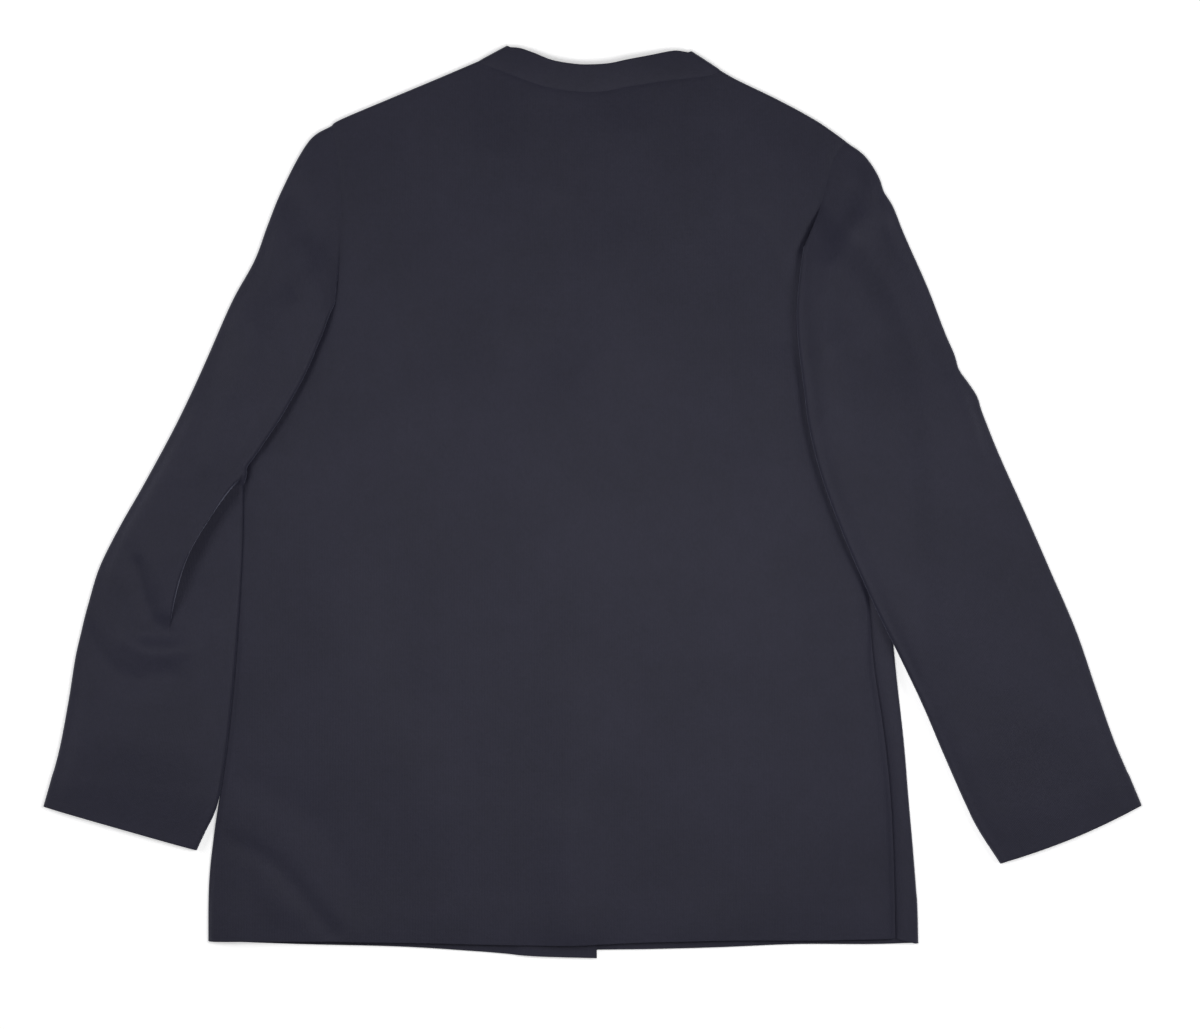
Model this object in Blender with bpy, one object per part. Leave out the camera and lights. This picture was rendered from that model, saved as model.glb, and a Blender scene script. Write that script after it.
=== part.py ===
# A double-knit jacket, laid flat on its front so that its back is up.
# Six cut pieces of cloth: a back, two lapped fronts, two sleeves and a stand collar.
# +X is the wearer's right, +Y points to the collar and the floor is at Z = 0.

import bpy
import math
import numpy as np

# Sizes below are in millimetres and angles in degrees
METRES = 0.001

CLOTH = 2.0              # thickness of the double knit
COLLAR_CLOTH = 2.4       # the collar is two layers pressed together
SEAM_GAP = 0.3           # between two pieces at a seam
SEAM_SAG = 0.15          # and a little more where their straight stretches differ
LAYER_GAP = 0.6          # between two layers that lie on each other

FLOOR_LAYER = CLOTH / 2                               # middle of a layer on the floor
SECOND_LAYER = FLOOR_LAYER + CLOTH + LAYER_GAP        # middle of one lying on that
THIRD_LAYER = SECOND_LAYER + CLOTH + LAYER_GAP        # and of a third

LAP = 27.0               # each front passes the centre by this much
LAP_MARGIN = 4.0         # the upper front is up on the lower one this much early
LAP_SLOPE = 14.0         # the width of its step
EDGE_LAYER = 5.0         # middle of the back at its shoulders, armholes and neck
BACK_LAYER = 5.6         # middle of the back where it lies free
BACK_LOWEST = 4.0        # and its lowest over the fronts
BACK_RISE = 55.0         # how slowly the back rises from its edges
COVER_MARGIN = 14.0      # it stays low this far past the sleeve that presses on it
ARMHOLE_FALL = 25.0      # a height changes over this distance along an armhole or collar
COLLAR_LAP_LAYER = 6.9   # middle of the back over the collar's lapped ends
LAP_COLLAR_LOW = 225.0   # where, up the back, those ends begin and stop
LAP_COLLAR_HIGH = 300.0
LAP_SPREAD = 26.0        # the back stays up this far beside the lap
LAP_FALL = 45.0          # and then comes down over this
TURN = 1.6               # radius of the back's turn at shoulders and side
TURN_INSET = TURN + CLOTH / 2      # the panels' edges lie this far inside the outline
SIDE_ROLL = 4.8          # middle of the side fold's upper layer, where it is free
ROLL_FREE = -100.0       # below this place the right sleeve no longer presses on it
ROLL_RISE = 60.0         # and it takes this long to rise
ROLL_PLACES = (0.0, 0.3, 0.65, 1.0)    # columns from the fold back to the side seam
FOLD_ANGLES = (-45, 0, 45)             # points round every fold
CREASE_HALF = 1.5        # half the width of the elbow's step
CREASE_ROLL = 30.0       # how far the upper arm's roll fades beyond the step
CREASE_DIP = 7.5         # and the dip at the step's foot
DIP_SHARE = 0.3          # the dip's depth against the step
UNDER_SHARE = 0.75       # how much of the roll the lower layer follows
UNDER_PAST = 18.0        # where it does so, beyond the step
UNDER_ROLL = 26.0        # and how widely
SLEEVE_CLIMB = 16.0      # how far past the body's edge a sleeve stays up
SLEEVE_FALL = 26.0       # and how far it takes to come down to the floor
COLLAR_LEAN = 5.0        # the collar's top edge stands this much above its seam

ARMHOLE_ROWS = 7         # rows of cells down the armhole, its foot and the side
FOOT_ROWS = 4
SIDE_ROWS = 12
SHOULDER_COLUMNS = 6
NECK_COLUMNS = 10
SPAN_STEPS = 12          # fineness of the smooth lines
SIDE_FADE = 3.0          # how close to the sides the armholes bend the rows of cells

# Outline of the body in plan, as short rows of (x, y)
SHOULDER_LEFT = [(-209.0, 299.0), (-202.0, 304.5), (-164.5, 320.5), (-125.0, 337.0), (-87.5, 353.0)]
SHOULDER_RIGHT = [(203.0, 287.0), (179.5, 303.5), (148.5, 320.5), (115.5, 336.5), (99.0, 346.0)]
NECK_BACK = [(-87.5, 351.0), (-72.5, 343.5), (-57.0, 337.0), (-38.0, 330.5), (-16.5, 327.0),
             (6.0, 326.5), (28.5, 330.5), (57.0, 335.0), (86.0, 339.0), (99.0, 345.0)]
ARMHOLE_LEFT = [(-209.0, 299.0), (-203.5, 268.5), (-201.0, 240.5), (-201.0, 216.5),
                (-203.0, 188.5), (-208.5, 160.5)]
FOOT_LEFT = [(-208.5, 160.5), (-213.0, 147.0), (-224.5, 136.5), (-244.5, 129.0), (-269.0, 126.0)]
SIDE_LEFT = [(-269.0, 126.0), (-274.0, 80.5), (-278.5, 32.5), (-279.5, -35.5), (-285.0, -119.5),
             (-292.5, -195.5), (-303.0, -267.5), (-307.0, -307.5), (-307.5, -352.5)]
ARMHOLE_RIGHT = [(203.0, 287.0), (194.0, 275.0), (188.5, 258.0), (183.0, 236.5),
                 (175.5, 216.5), (169.0, 200.5)]
FOOT_RIGHT = [(169.0, 200.5), (171.0, 183.0), (178.0, 165.0), (191.5, 151.0), (206.0, 142.0)]
UNDERARM_RIGHT = (220.5, 135.0)
SEAM_RIGHT = [(206.0, 142.0), (211.0, 64.5), (215.5, 0.5), (219.5, -63.5), (224.5, -127.5),
              (231.5, -175.5), (235.5, -207.5), (239.0, -247.5), (241.0, -295.5), (242.0, -350.0)]
FOLD_RIGHT = [UNDERARM_RIGHT, (226.0, 64.5), (231.5, 0.5), (237.0, -63.5), (242.0, -127.5),
              (249.0, -191.5), (253.0, -239.5), (256.5, -279.5), (259.5, -319.5), (260.5, -354.0)]
HEM_BACK = [(-307.5, -352.5), (-214.0, -352.0), (-130.0, -353.5), (-34.0, -355.0),
            (86.0, -351.5), (182.0, -351.0), (242.0, -350.0)]
HEM_LEFT = [(-304.5, -353.0), (-234.0, -355.0), (-154.0, -357.0), (-90.0, -361.0),
            (-46.0, -364.5), (3.5, -366.0)]
HEM_RIGHT = [(-50.5, -360.5), (6.0, -359.5), (47.5, -359.0), (102.0, -357.5), (163.0, -355.0),
             (222.0, -355.0), (260.5, -355.5)]
NECK_FRONT_LEFT = [(-87.5, 351.0), (-83.5, 324.5), (-71.5, 300.5), (-48.5, 282.0),
                   (-20.5, 271.5), (6.0, 268.5), (32.0, 270.0)]
NECK_FRONT_RIGHT = [(99.0, 345.0), (95.5, 322.0), (84.0, 298.0), (62.0, 280.0),
                    (34.0, 270.5), (6.0, 268.5), (-22.0, 270.0)]
CENTRE = [(5.5, 330.0), (5.0, 268.5), (-10.5, 136.5), (-20.0, 0.5), (-23.5, -159.5), (-23.5, -366.0)]

# Top edge of the collar, on the back and on each front
COLLAR_TOP_BACK = [(-64.5, 366.0), (-47.5, 359.0), (-32.5, 352.5), (-14.0, 349.0), (-0.5, 348.5),
                   (14.0, 349.5), (27.5, 352.5), (46.0, 356.5), (64.5, 361.0), (75.5, 362.0)]
COLLAR_TOP_LEFT = [(-64.5, 366.0), (-60.5, 333.0), (-49.0, 315.5), (-33.0, 302.5),
                   (-12.5, 296.5), (6.0, 295.5), (32.0, 297.0)]
COLLAR_TOP_RIGHT = [(75.5, 362.0), (71.5, 333.0), (60.5, 315.5), (44.5, 302.5),
                    (24.0, 296.5), (6.0, 295.5), (-22.0, 297.0)]

# The largest soft folds of the back: a line from one place to another, with a width
# to each side and a height, which is negative in a trough
FOLD_COLUMNS = ("from_x", "from_y", "to_x", "to_y", "width", "height")
BACK_FOLDS = [
    (-75.0, 300.0, -70.0, 150.0, 22.0, 1.5),
    (25.0, 320.0, 20.0, 120.0, 26.0, 1.4),
    (-130.0, 290.0, -120.0, 120.0, 30.0, -1.0),
    (-30.0, 260.0, -28.0, 120.0, 18.0, -0.9),
    (110.0, 290.0, 118.0, 60.0, 30.0, -1.0),
    (-20.0, 60.0, -20.0, -40.0, 60.0, 1.9),
    (-270.0, -260.0, -190.0, -345.0, 24.0, 1.9),
    (-14.0, -160.0, -10.0, -340.0, 26.0, 1.4),
    (150.0, -60.0, 175.0, -300.0, 36.0, 1.4),
    (-190.0, -40.0, -205.0, -200.0, 40.0, 1.2),
]

# And of the upper layer of each sleeve
SLEEVE_LEFT_FOLDS = [
    (-285.0, 150.0, -268.0, 118.0, 18.0, 1.2),
    (-328.0, 66.0, -346.0, 8.0, 20.0, 1.6),
    (-394.0, -112.0, -338.0, -146.0, 14.0, -1.9),
    (-388.0, -190.0, -330.0, -200.0, 22.0, 0.9),
]
SLEEVE_RIGHT_FOLDS = [
    (236.0, 222.0, 243.0, 132.0, 18.0, -2.0),
    (298.0, 56.0, 274.0, -96.0, 20.0, 1.5),
    (330.0, -70.0, 352.0, -150.0, 20.0, -1.2),
    (362.0, -205.0, 372.0, -228.0, 24.0, -1.2),
]
SLEEVE_FOLD_FADE = 16.0  # these fade out towards the tube's edges over this

# Sections across each sleeve from the armhole to the cuff. outer and inner are the two
# folds; over is how far the body reaches under the sleeve from the inner fold; full is
# the height between the two layers; crease and drop place the elbow's step.
SECTION_COLUMNS = ("outer_x", "outer_y", "inner_x", "inner_y", "over", "full", "crease", "drop")
SLEEVE_LEFT = [
    (-209.0, 299.0, -208.5, 160.5, 0.0, 4.0, 14.0, 0.0),
    (-227.0, 287.0, -210.0, 155.5, 1.0, 4.2, 14.0, 0.0),
    (-247.5, 250.0, -214.0, 145.0, 2.0, 4.5, 14.0, 0.0),
    (-259.5, 220.5, -218.0, 133.0, 6.0, 4.7, 14.0, 0.0),
    (-270.0, 192.5, -223.0, 121.0, 13.0, 4.8, 14.0, 0.0),
    (-287.5, 160.5, -232.5, 96.5, 36.0, 4.8, 14.0, 0.0),
    (-309.0, 112.5, -247.0, 68.5, 29.0, 4.8, 14.0, 0.0),
    (-331.0, 64.5, -264.5, 42.0, 13.0, 4.8, 13.0, 0.0),
    (-356.5, 16.5, -279.3, 19.5, 0.0, 4.8, 8.0, 1.2),
    (-377.0, -19.5, -279.6, -3.5, -90.0, 4.6, 22.0, 4.2),
    (-394.0, -53.0, -280.0, -31.5, -90.0, 4.6, 45.0, 3.8),
    (-403.5, -83.5, -281.5, -63.5, -90.0, 4.6, 53.0, 2.4),
    (-412.5, -119.5, -284.5, -103.5, -90.0, 4.8, 56.0, 0.6),
    (-419.0, -159.5, -287.9, -147.5, -90.0, 4.9, 52.0, 0.0),
    (-426.0, -197.0, -293.1, -195.5, -90.0, 5.0, 46.0, 0.0),
    (-433.0, -223.5, -302.6, -246.0, -90.0, 5.0, 42.0, 0.0),
    (-439.0, -244.5, -316.5, -279.5, -90.0, 4.8, 42.0, 0.0),
]
SLEEVE_RIGHT = [
    (203.0, 287.0, 169.0, 200.5, 0.0, 4.0, 14.0, 0.0),
    (220.5, 272.5, 167.0, 188.5, 4.0, 4.2, 14.0, 0.0),
    (238.0, 240.5, 164.5, 170.0, 11.0, 4.5, 14.0, 0.0),
    (251.5, 208.5, 163.0, 148.5, 24.0, 4.7, 14.0, 0.0),
    (269.0, 168.5, 164.5, 122.0, 56.0, 4.8, 14.0, 0.0),
    (284.5, 128.5, 168.5, 90.0, 58.0, 4.8, 14.0, 0.0),
    (304.5, 87.0, 173.0, 56.5, 56.0, 4.8, 14.0, 0.0),
    (323.5, 40.5, 183.0, 18.0, 50.0, 4.8, 14.0, 0.0),
    (345.0, -7.5, 201.0, -30.0, 36.0, 4.8, 14.0, 0.0),
    (366.0, -55.5, 223.5, -81.0, 17.0, 4.8, 14.0, 0.0),
    (387.0, -104.5, 244.5, -123.5, -2.0, 4.9, 14.0, 0.0),
    (403.0, -151.5, 263.5, -163.5, -16.0, 5.0, 14.0, 0.0),
    (417.0, -191.5, 282.0, -206.0, -33.0, 5.0, 14.0, 0.0),
    (430.0, -222.0, 304.5, -255.5, -60.0, 5.0, 14.0, 0.0),
    (439.0, -243.5, 326.0, -290.0, -90.0, 4.8, 14.0, 0.0),
]
SECTION_STEPS = 2        # rows of cells between two sections
TOP_COLUMNS = 9          # columns of cells across a sleeve's upper layer
CREASE_COLUMNS = 3       # lines of points between the inner fold and the crease
UNDER_COLUMNS = 6        # columns of cells across the lower layer
SEAM_ROWS = 3            # rows over which the sections straighten after the armhole
CUFF_BULGE = 3.0         # the right cuff is this much fuller at its middle
CUFF_ROWS = 4            # over this many rows

CLOTH_COLOUR = (0.030, 0.030, 0.043, 1.0)


def ease(value):
    # Smooth step from 0 to 1
    value = min(max(value, 0.0), 1.0)
    return value * value * (3 - 2 * value)


def mix(start, end, share):
    return start + (end - start) * share


class Line:
    # A smooth line through a few points, read by a fraction of its length

    def __init__(self, points):
        knots = [np.array(point, float) for point in points]
        knots = [2 * knots[0] - knots[1]] + knots + [2 * knots[-1] - knots[-2]]
        fine = []
        for first, start, end, last in zip(knots, knots[1:], knots[2:], knots[3:]):
            for step in range(SPAN_STEPS):
                t = step / SPAN_STEPS
                fine.append(0.5 * (2 * start + (end - first) * t
                                   + (2 * first - 5 * start + 4 * end - last) * t ** 2
                                   + (3 * start - first - 3 * end + last) * t ** 3))
        fine.append(knots[-2])
        self.points = np.array(fine)
        lengths = np.linalg.norm(np.diff(self.points, axis=0), axis=1)
        self.places = np.concatenate([[0.0], np.cumsum(lengths)]) / lengths.sum()

    def at(self, fraction):
        return np.array([np.interp(fraction, self.places, column) for column in self.points.T])

    def x_at(self, y):
        # For a line that runs steadily down the page
        return np.interp(-y, -self.points[:, 1], self.points[:, 0])


def moved(points, offset):
    # The same line moved sideways, to the left of its direction
    points = Line(points).points[::SPAN_STEPS]
    along = np.gradient(points, axis=0)
    along /= np.linalg.norm(along, axis=1)[:, None]
    return points + offset * np.stack([-along[:, 1], along[:, 0]], axis=1)


def spaced(lines, counts):
    # Evenly spaced points along several lines in turn
    points = [lines[0].at(0.0)]
    for line, count in zip(lines, counts):
        points += [line.at((step + 1) / count) for step in range(count)]
    return np.array(points)


def patch(top, bottom, left, right, left_fade=1.0, right_fade=1.0):
    # Points inside four edges, each given as a row of points. A larger fade keeps the
    # bends of that side's edge close to it
    across = np.linspace(0, 1, len(top))[None, :, None]
    down = np.linspace(0, 1, len(left))[:, None, None]
    ruled = (1 - down) * top[None] + down * bottom[None]
    bend_left = (1 - across) ** left_fade * (left[:, None] - ruled[:, :1])
    bend_right = across ** right_fade * (right[:, None] - ruled[:, -1:])
    return ruled + bend_left + bend_right


def fold_heights(x, y, folds):
    # Sum of the soft ridges and troughs at a place
    total = 0.0
    for row in folds:
        fold = dict(zip(FOLD_COLUMNS, row))
        start = np.array([fold["from_x"], fold["from_y"]])
        run = np.array([fold["to_x"], fold["to_y"]]) - start
        place = np.dot(np.array([x, y]) - start, run) / np.dot(run, run)
        nearest = start + run * min(max(place, 0.0), 1.0)
        distance = math.hypot(x - nearest[0], y - nearest[1]) / fold["width"]
        total += fold["height"] * math.exp(-distance ** 2)
    return total


# Edges that two or more pieces share, just inside the outline at shoulders and side
SHOULDER_LEFT_LINE = Line(moved(SHOULDER_LEFT, -TURN_INSET))
SHOULDER_RIGHT_LINE = Line(moved(SHOULDER_RIGHT, TURN_INSET))
SIDE_LEFT_LINE = Line(moved(SIDE_LEFT, TURN_INSET))
ARMHOLE_LEFT_LINE = Line([SHOULDER_LEFT_LINE.at(0.0)] + ARMHOLE_LEFT[1:])
ARMHOLE_RIGHT_LINE = Line([SHOULDER_RIGHT_LINE.at(0.0)] + ARMHOLE_RIGHT[1:])
FOOT_LEFT_LINE = Line(FOOT_LEFT[:-1] + [SIDE_LEFT_LINE.at(0.0)])
NECK_BACK_LINE = Line([SHOULDER_LEFT_LINE.at(1.0)] + NECK_BACK[1:-1] + [SHOULDER_RIGHT_LINE.at(1.0)])
NECK_FRONT_LEFT_LINE = Line([SHOULDER_LEFT_LINE.at(1.0)] + NECK_FRONT_LEFT[1:])
NECK_FRONT_RIGHT_LINE = Line([SHOULDER_RIGHT_LINE.at(1.0)] + NECK_FRONT_RIGHT[1:])
CENTRE_LINE = Line(CENTRE)

# What covers the back at each side: the armhole seam, a sleeve's fold, then the side
COVER_LEFT = Line(ARMHOLE_LEFT + [row[2:4] for row in SLEEVE_LEFT[1:9]] + SIDE_LEFT[4:])
COVER_RIGHT = Line(ARMHOLE_RIGHT + [row[2:4] for row in SLEEVE_RIGHT[1:10]] + SEAM_RIGHT[4:])


def centre_x(y):
    return CENTRE_LINE.x_at(y)


def side_layer(y, armhole_end):
    # Middle of the back at its armhole, then lower where a sleeve presses on it
    return mix(EDGE_LAYER, SECOND_LAYER, ease((armhole_end - y) / ARMHOLE_FALL + 1))


def distance_to(line, x, y):
    return np.linalg.norm(line.points - np.array([x, y]), axis=1).min()


def over_lap(x, y):
    # Lowest that the middle of the back can lie over the lapped fronts and collar ends
    top = mix(THIRD_LAYER, COLLAR_LAP_LAYER, ease((y - LAP_COLLAR_LOW) / ARMHOLE_FALL))
    top = mix(top, EDGE_LAYER, ease((y - LAP_COLLAR_HIGH) / ARMHOLE_FALL))
    return mix(top, BACK_LOWEST, ease((abs(x - centre_x(y)) - LAP - LAP_SPREAD) / LAP_FALL))


def back_height(x, y):
    # Middle of the back panel's wall above the floor
    free = BACK_LAYER + fold_heights(x, y, BACK_FOLDS)
    low_left = 1 - ease((x - COVER_LEFT.x_at(y) - COVER_MARGIN) / BACK_RISE)
    low_right = 1 - ease((COVER_RIGHT.x_at(y) - x - COVER_MARGIN) / BACK_RISE)
    height = free + (side_layer(y, ARMHOLE_LEFT[-1][1]) - free) * low_left
    height += (side_layer(y, ARMHOLE_RIGHT[-1][1]) - free) * low_right
    shoulder = min(distance_to(line, x, y) for line in (SHOULDER_LEFT_LINE, SHOULDER_RIGHT_LINE))
    height = mix(EDGE_LAYER, height, ease(shoulder / BACK_RISE))
    return max(height, over_lap(x, y))


class Sheet:
    # A sheet of four-sided cells, which wall() makes into a closed body of cloth

    def __init__(self):
        self.points = []
        self.cells = []

    def add(self, x, y, z):
        self.points.append((x, y, z))
        return len(self.points) - 1

    def add_rows(self, points, heights):
        # A grid of points; rows run down the page and columns to the right
        rows = []
        for plan_row, height_row in zip(points, heights):
            rows.append([self.add(p[0], p[1], h) for p, h in zip(plan_row, height_row)])
        return rows

    def join(self, first, second):
        # Cells between two rows, the second lying below or inside the first
        for a, b, c, d in zip(first, first[1:], second[1:], second):
            self.cells.append((a, d, c, b))

    def wall(self, thickness):
        points = np.array(self.points)
        corners = points[np.array(self.cells)]
        facing = np.cross(corners[:, 2] - corners[:, 0], corners[:, 3] - corners[:, 1])
        normals = np.zeros_like(points)
        for cell, normal in zip(self.cells, facing):
            for corner in cell:
                normals[corner] += normal
        normals /= np.linalg.norm(normals, axis=1)[:, None]
        upper = points + normals * thickness / 2
        lower = points - normals * thickness / 2
        vertices = np.concatenate([upper, lower])
        vertices[:, 2] = np.maximum(vertices[:, 2], 0.0)
        count = len(points)
        faces = []
        edges = set()
        for a, b, c, d in self.cells:
            faces += [(a, b, c), (a, c, d)]
            faces += [(count + a, count + c, count + b), (count + a, count + d, count + c)]
            edges.update([(a, b), (b, c), (c, d), (d, a)])
        for start, end in sorted(edges):
            if (end, start) not in edges:
                faces += [(start, count + start, count + end), (start, count + end, end)]
        return vertices, faces


def cloth_material(name, colour):
    material = bpy.data.materials.new(name)
    material.use_nodes = True
    shader = material.node_tree.nodes["Principled BSDF"]
    shader.inputs["Base Color"].default_value = colour
    shader.inputs["Roughness"].default_value = 0.9
    shader.inputs["Metallic"].default_value = 0.0
    return material


def place_piece(name, vertices, faces):
    mesh = bpy.data.meshes.new(name)
    mesh.from_pydata((vertices * METRES).tolist(), [], faces)
    mesh.validate()
    piece = bpy.data.objects.new(name, mesh)
    bpy.context.scene.collection.objects.link(piece)
    mesh.materials.append(cloth_material(name + "_cloth", CLOTH_COLOUR))
    mesh.shade_smooth()
    mesh.set_sharp_from_angle(angle=math.radians(50))
    return piece


def square_to(start, end):
    # Plan direction to the left of the way from start to end
    along = (end - start) / np.linalg.norm(end - start)
    return np.array([-along[1], along[0]])


def outward(points, index, ends):
    # Direction out of a row of points that has the outside on its left
    if index == 0 and ends[0] is not None:
        return ends[0]
    if index == len(points) - 1 and ends[1] is not None:
        return ends[1]
    return square_to(points[max(index - 1, 0)], points[min(index + 1, len(points) - 1)])


def turn_down(sheet, inner, edge, heights, ends=(None, None)):
    # Carries an edge of the back over and down to the floor
    for angle in (45, 90, None):
        turn = math.radians(90 if angle is None else angle)
        row = []
        for index, point in enumerate(edge):
            x, y = point + outward(edge, index, ends) * TURN * math.sin(turn)
            z = 0.0 if angle is None else heights[index] - TURN * (1 - math.cos(turn))
            row.append(sheet.add(x, y, z))
        sheet.join(row, inner)
        inner = row


def even_points(line, columns):
    return np.array([line.at(step / columns) for step in range(columns + 1)])


def collar_fold_direction(seam, top, side):
    # Square to the fold at one end of the flattened collar, away from the neck
    return -side * square_to(np.array(seam), np.array(top))


def make_back():
    columns = 2 * SHOULDER_COLUMNS + NECK_COLUMNS
    rows = (ARMHOLE_ROWS, FOOT_ROWS, SIDE_ROWS)
    top = np.concatenate([even_points(SHOULDER_LEFT_LINE, SHOULDER_COLUMNS),
                          even_points(NECK_BACK_LINE, NECK_COLUMNS)[1:],
                          even_points(SHOULDER_RIGHT_LINE, SHOULDER_COLUMNS)[-2::-1]])
    left = spaced([ARMHOLE_LEFT_LINE, FOOT_LEFT_LINE, SIDE_LEFT_LINE], rows)
    right = spaced([ARMHOLE_RIGHT_LINE, Line(FOOT_RIGHT), Line(SEAM_RIGHT)], rows)
    hem = Line([SIDE_LEFT_LINE.at(1.0)] + HEM_BACK[1:])
    plan = patch(top, even_points(hem, columns), left, right, SIDE_FADE, SIDE_FADE)
    heights = np.array([[back_height(x, y) for x, y in row] for row in plan])
    sheet = Sheet()
    grid = sheet.add_rows(plan, heights)
    for above, below in zip(grid, grid[1:]):
        sheet.join(above, below)

    # The shoulders turn down to the floor
    last = SHOULDER_COLUMNS + 1
    neck_end = collar_fold_direction(NECK_BACK[0], COLLAR_TOP_BACK[0], -1)
    arm_end = -direction_at_start(ARMHOLE_LEFT_LINE)
    turn_down(sheet, grid[0][:last], plan[0, :last], heights[0, :last], (arm_end, neck_end))
    first = SHOULDER_COLUMNS + NECK_COLUMNS
    neck_end = collar_fold_direction(NECK_BACK[-1], COLLAR_TOP_BACK[-1], 1)
    arm_end = -direction_at_start(ARMHOLE_RIGHT_LINE)
    turn_down(sheet, grid[0][first:], plan[0, first:], heights[0, first:], (neck_end, arm_end))

    # So does the left side, below the underarm
    underarm = ARMHOLE_ROWS + FOOT_ROWS
    inner = [row[0] for row in grid[underarm:]][::-1]
    turn_down(sheet, inner, plan[underarm:, 0][::-1], heights[underarm:, 0][::-1])
    return place_piece("back", *sheet.wall(CLOTH))


def direction_at_start(line):
    run = line.points[1] - line.points[0]
    return run / np.linalg.norm(run)


def front_edge(side, top, bottom):
    # Straight down the front, past the centre by the lap
    points = [np.array(top)]
    for place in (0.25, 0.5, 0.75):
        y = mix(top[1], bottom[1], place)
        points.append(np.array([centre_x(y) - side * LAP, y]))
    return Line(points + [np.array(bottom)])


def lap_points(line, columns):
    # Points along a neck or hem line towards the front edge; the last four stand at
    # the foot and the head of the lap's step, the centre and the edge
    length = np.linalg.norm(np.diff(line.points, axis=0), axis=1).sum()
    head = 2 * LAP + LAP_MARGIN
    even = np.linspace(0, length - head - LAP_SLOPE, columns - 2)
    places = [*even, length - head, length - LAP, length]
    return np.array([line.at(place / length) for place in places])


def make_front_left():
    rows = (ARMHOLE_ROWS, FOOT_ROWS, SIDE_ROWS)
    columns = SHOULDER_COLUMNS + NECK_COLUMNS
    edge = front_edge(-1, NECK_FRONT_LEFT[-1], HEM_LEFT[-1])
    hem = Line([SIDE_LEFT_LINE.at(1.0)] + HEM_LEFT[1:])
    top = np.concatenate([even_points(SHOULDER_LEFT_LINE, SHOULDER_COLUMNS)[:-1],
                          lap_points(NECK_FRONT_LEFT_LINE, NECK_COLUMNS)])
    left = spaced([ARMHOLE_LEFT_LINE, FOOT_LEFT_LINE, SIDE_LEFT_LINE], rows)
    front = even_points(edge, sum(rows))
    plan = patch(top, lap_points(hem, columns), left, front, left_fade=SIDE_FADE)
    heights = np.full(plan.shape[:2], FLOOR_LAYER)
    heights[:, -3:] = SECOND_LAYER
    sheet = Sheet()
    grid = sheet.add_rows(plan, heights)
    for above, below in zip(grid, grid[1:]):
        sheet.join(above, below)
    return place_piece("front_left", *sheet.wall(CLOTH))


def roll_height(y):
    # Upper layer of the side fold: pressed flat under the sleeve, then rounder
    return mix(SECOND_LAYER, SIDE_ROLL, ease((ROLL_FREE - y) / ROLL_RISE))


def make_front_right():
    side = []
    for x, y in FOLD_RIGHT:
        side.append((x - (roll_height(y) - FLOOR_LAYER) / 2 - CLOTH / 2, y))
    side_line = Line(side)
    fold_line = Line(FOLD_RIGHT)
    foot = Line(FOOT_RIGHT + [side_line.at(0.0)])
    rows = (ARMHOLE_ROWS, FOOT_ROWS, SIDE_ROWS)
    columns = SHOULDER_COLUMNS + NECK_COLUMNS
    edge = front_edge(1, NECK_FRONT_RIGHT[-1], HEM_RIGHT[0])
    hem = Line(HEM_RIGHT[:-1] + [side_line.at(1.0)])
    top = np.concatenate([even_points(NECK_FRONT_RIGHT_LINE, NECK_COLUMNS)[::-1],
                          even_points(SHOULDER_RIGHT_LINE, SHOULDER_COLUMNS)[-2::-1]])
    right = spaced([ARMHOLE_RIGHT_LINE, foot, side_line], rows)
    front = even_points(edge, sum(rows))
    plan = patch(top, even_points(hem, columns), front, right, right_fade=SIDE_FADE)
    heights = np.full(plan.shape[:2], FLOOR_LAYER)
    sheet = Sheet()
    grid = sheet.add_rows(plan, heights)
    for above, below in zip(grid, grid[1:]):
        sheet.join(above, below)

    # Below the underarm the cloth folds back over itself as far as the side seam
    underarm = ARMHOLE_ROWS + FOOT_ROWS
    seam = Line(SEAM_RIGHT)
    folded = []
    for step, row in enumerate(grid[underarm:]):
        share = step / SIDE_ROWS
        start = plan[underarm + step, -1]
        radius = fold_line.at(share)[0] - start[0] - CLOTH / 2
        end = seam.at(share) + np.array([SEAM_GAP, 0.0])
        end_height = back_height(*seam.at(share))
        strip = [row[-1]]
        for angle in FOLD_ANGLES:
            turn = math.radians(angle)
            strip.append(sheet.add(start[0] + radius * math.cos(turn), start[1],
                                   FLOOR_LAYER + radius + radius * math.sin(turn)))
        for place in ROLL_PLACES:
            height = mix(FLOOR_LAYER + 2 * radius, end_height, ease(place))
            x, y = mix(start, end, place)
            strip.append(sheet.add(x, y, height))
        folded.append(strip)
    for above, below in zip(folded, folded[1:]):
        sheet.join(above, below)
    return place_piece("front_right", *sheet.wall(CLOTH))


def section_at(table, position):
    # A smooth section between the rows of a sleeve's table
    first = min(int(position), len(table) - 2)
    share = position - first
    rows = [np.array(table[min(max(first + step, 0), len(table) - 1)]) for step in (-1, 0, 1, 2)]
    before, start, end, after = rows
    values = 0.5 * (2 * start + (end - before) * share
                    + (2 * before - 5 * start + 4 * end - after) * share ** 2
                    + (3 * start - before - 3 * end + after) * share ** 3)
    straight = mix(start, end, share)
    section = dict(zip(SECTION_COLUMNS, straight))
    for name, value in zip(SECTION_COLUMNS[:4], values[:4]):
        section[name] = value
    return section


def section_places(width, inset, crease):
    # Distances from the inner fold to the columns of the upper layer, two of which
    # stand on either side of the crease
    inner = np.linspace(inset, crease - CREASE_HALF, CREASE_COLUMNS)
    outer = np.linspace(crease + CREASE_HALF, width - inset, TOP_COLUMNS + 1 - CREASE_COLUMNS)
    return [*inner, *outer]


def sleeve_seam(armhole, side):
    # The armhole edge moved out by the seam gap, and on to the outline at the shoulder
    points = moved(armhole.points[::SPAN_STEPS], side * (SEAM_GAP + SEAM_SAG))
    return Line([points[0] - direction_at_start(armhole) * TURN_INSET] + list(points))


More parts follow.
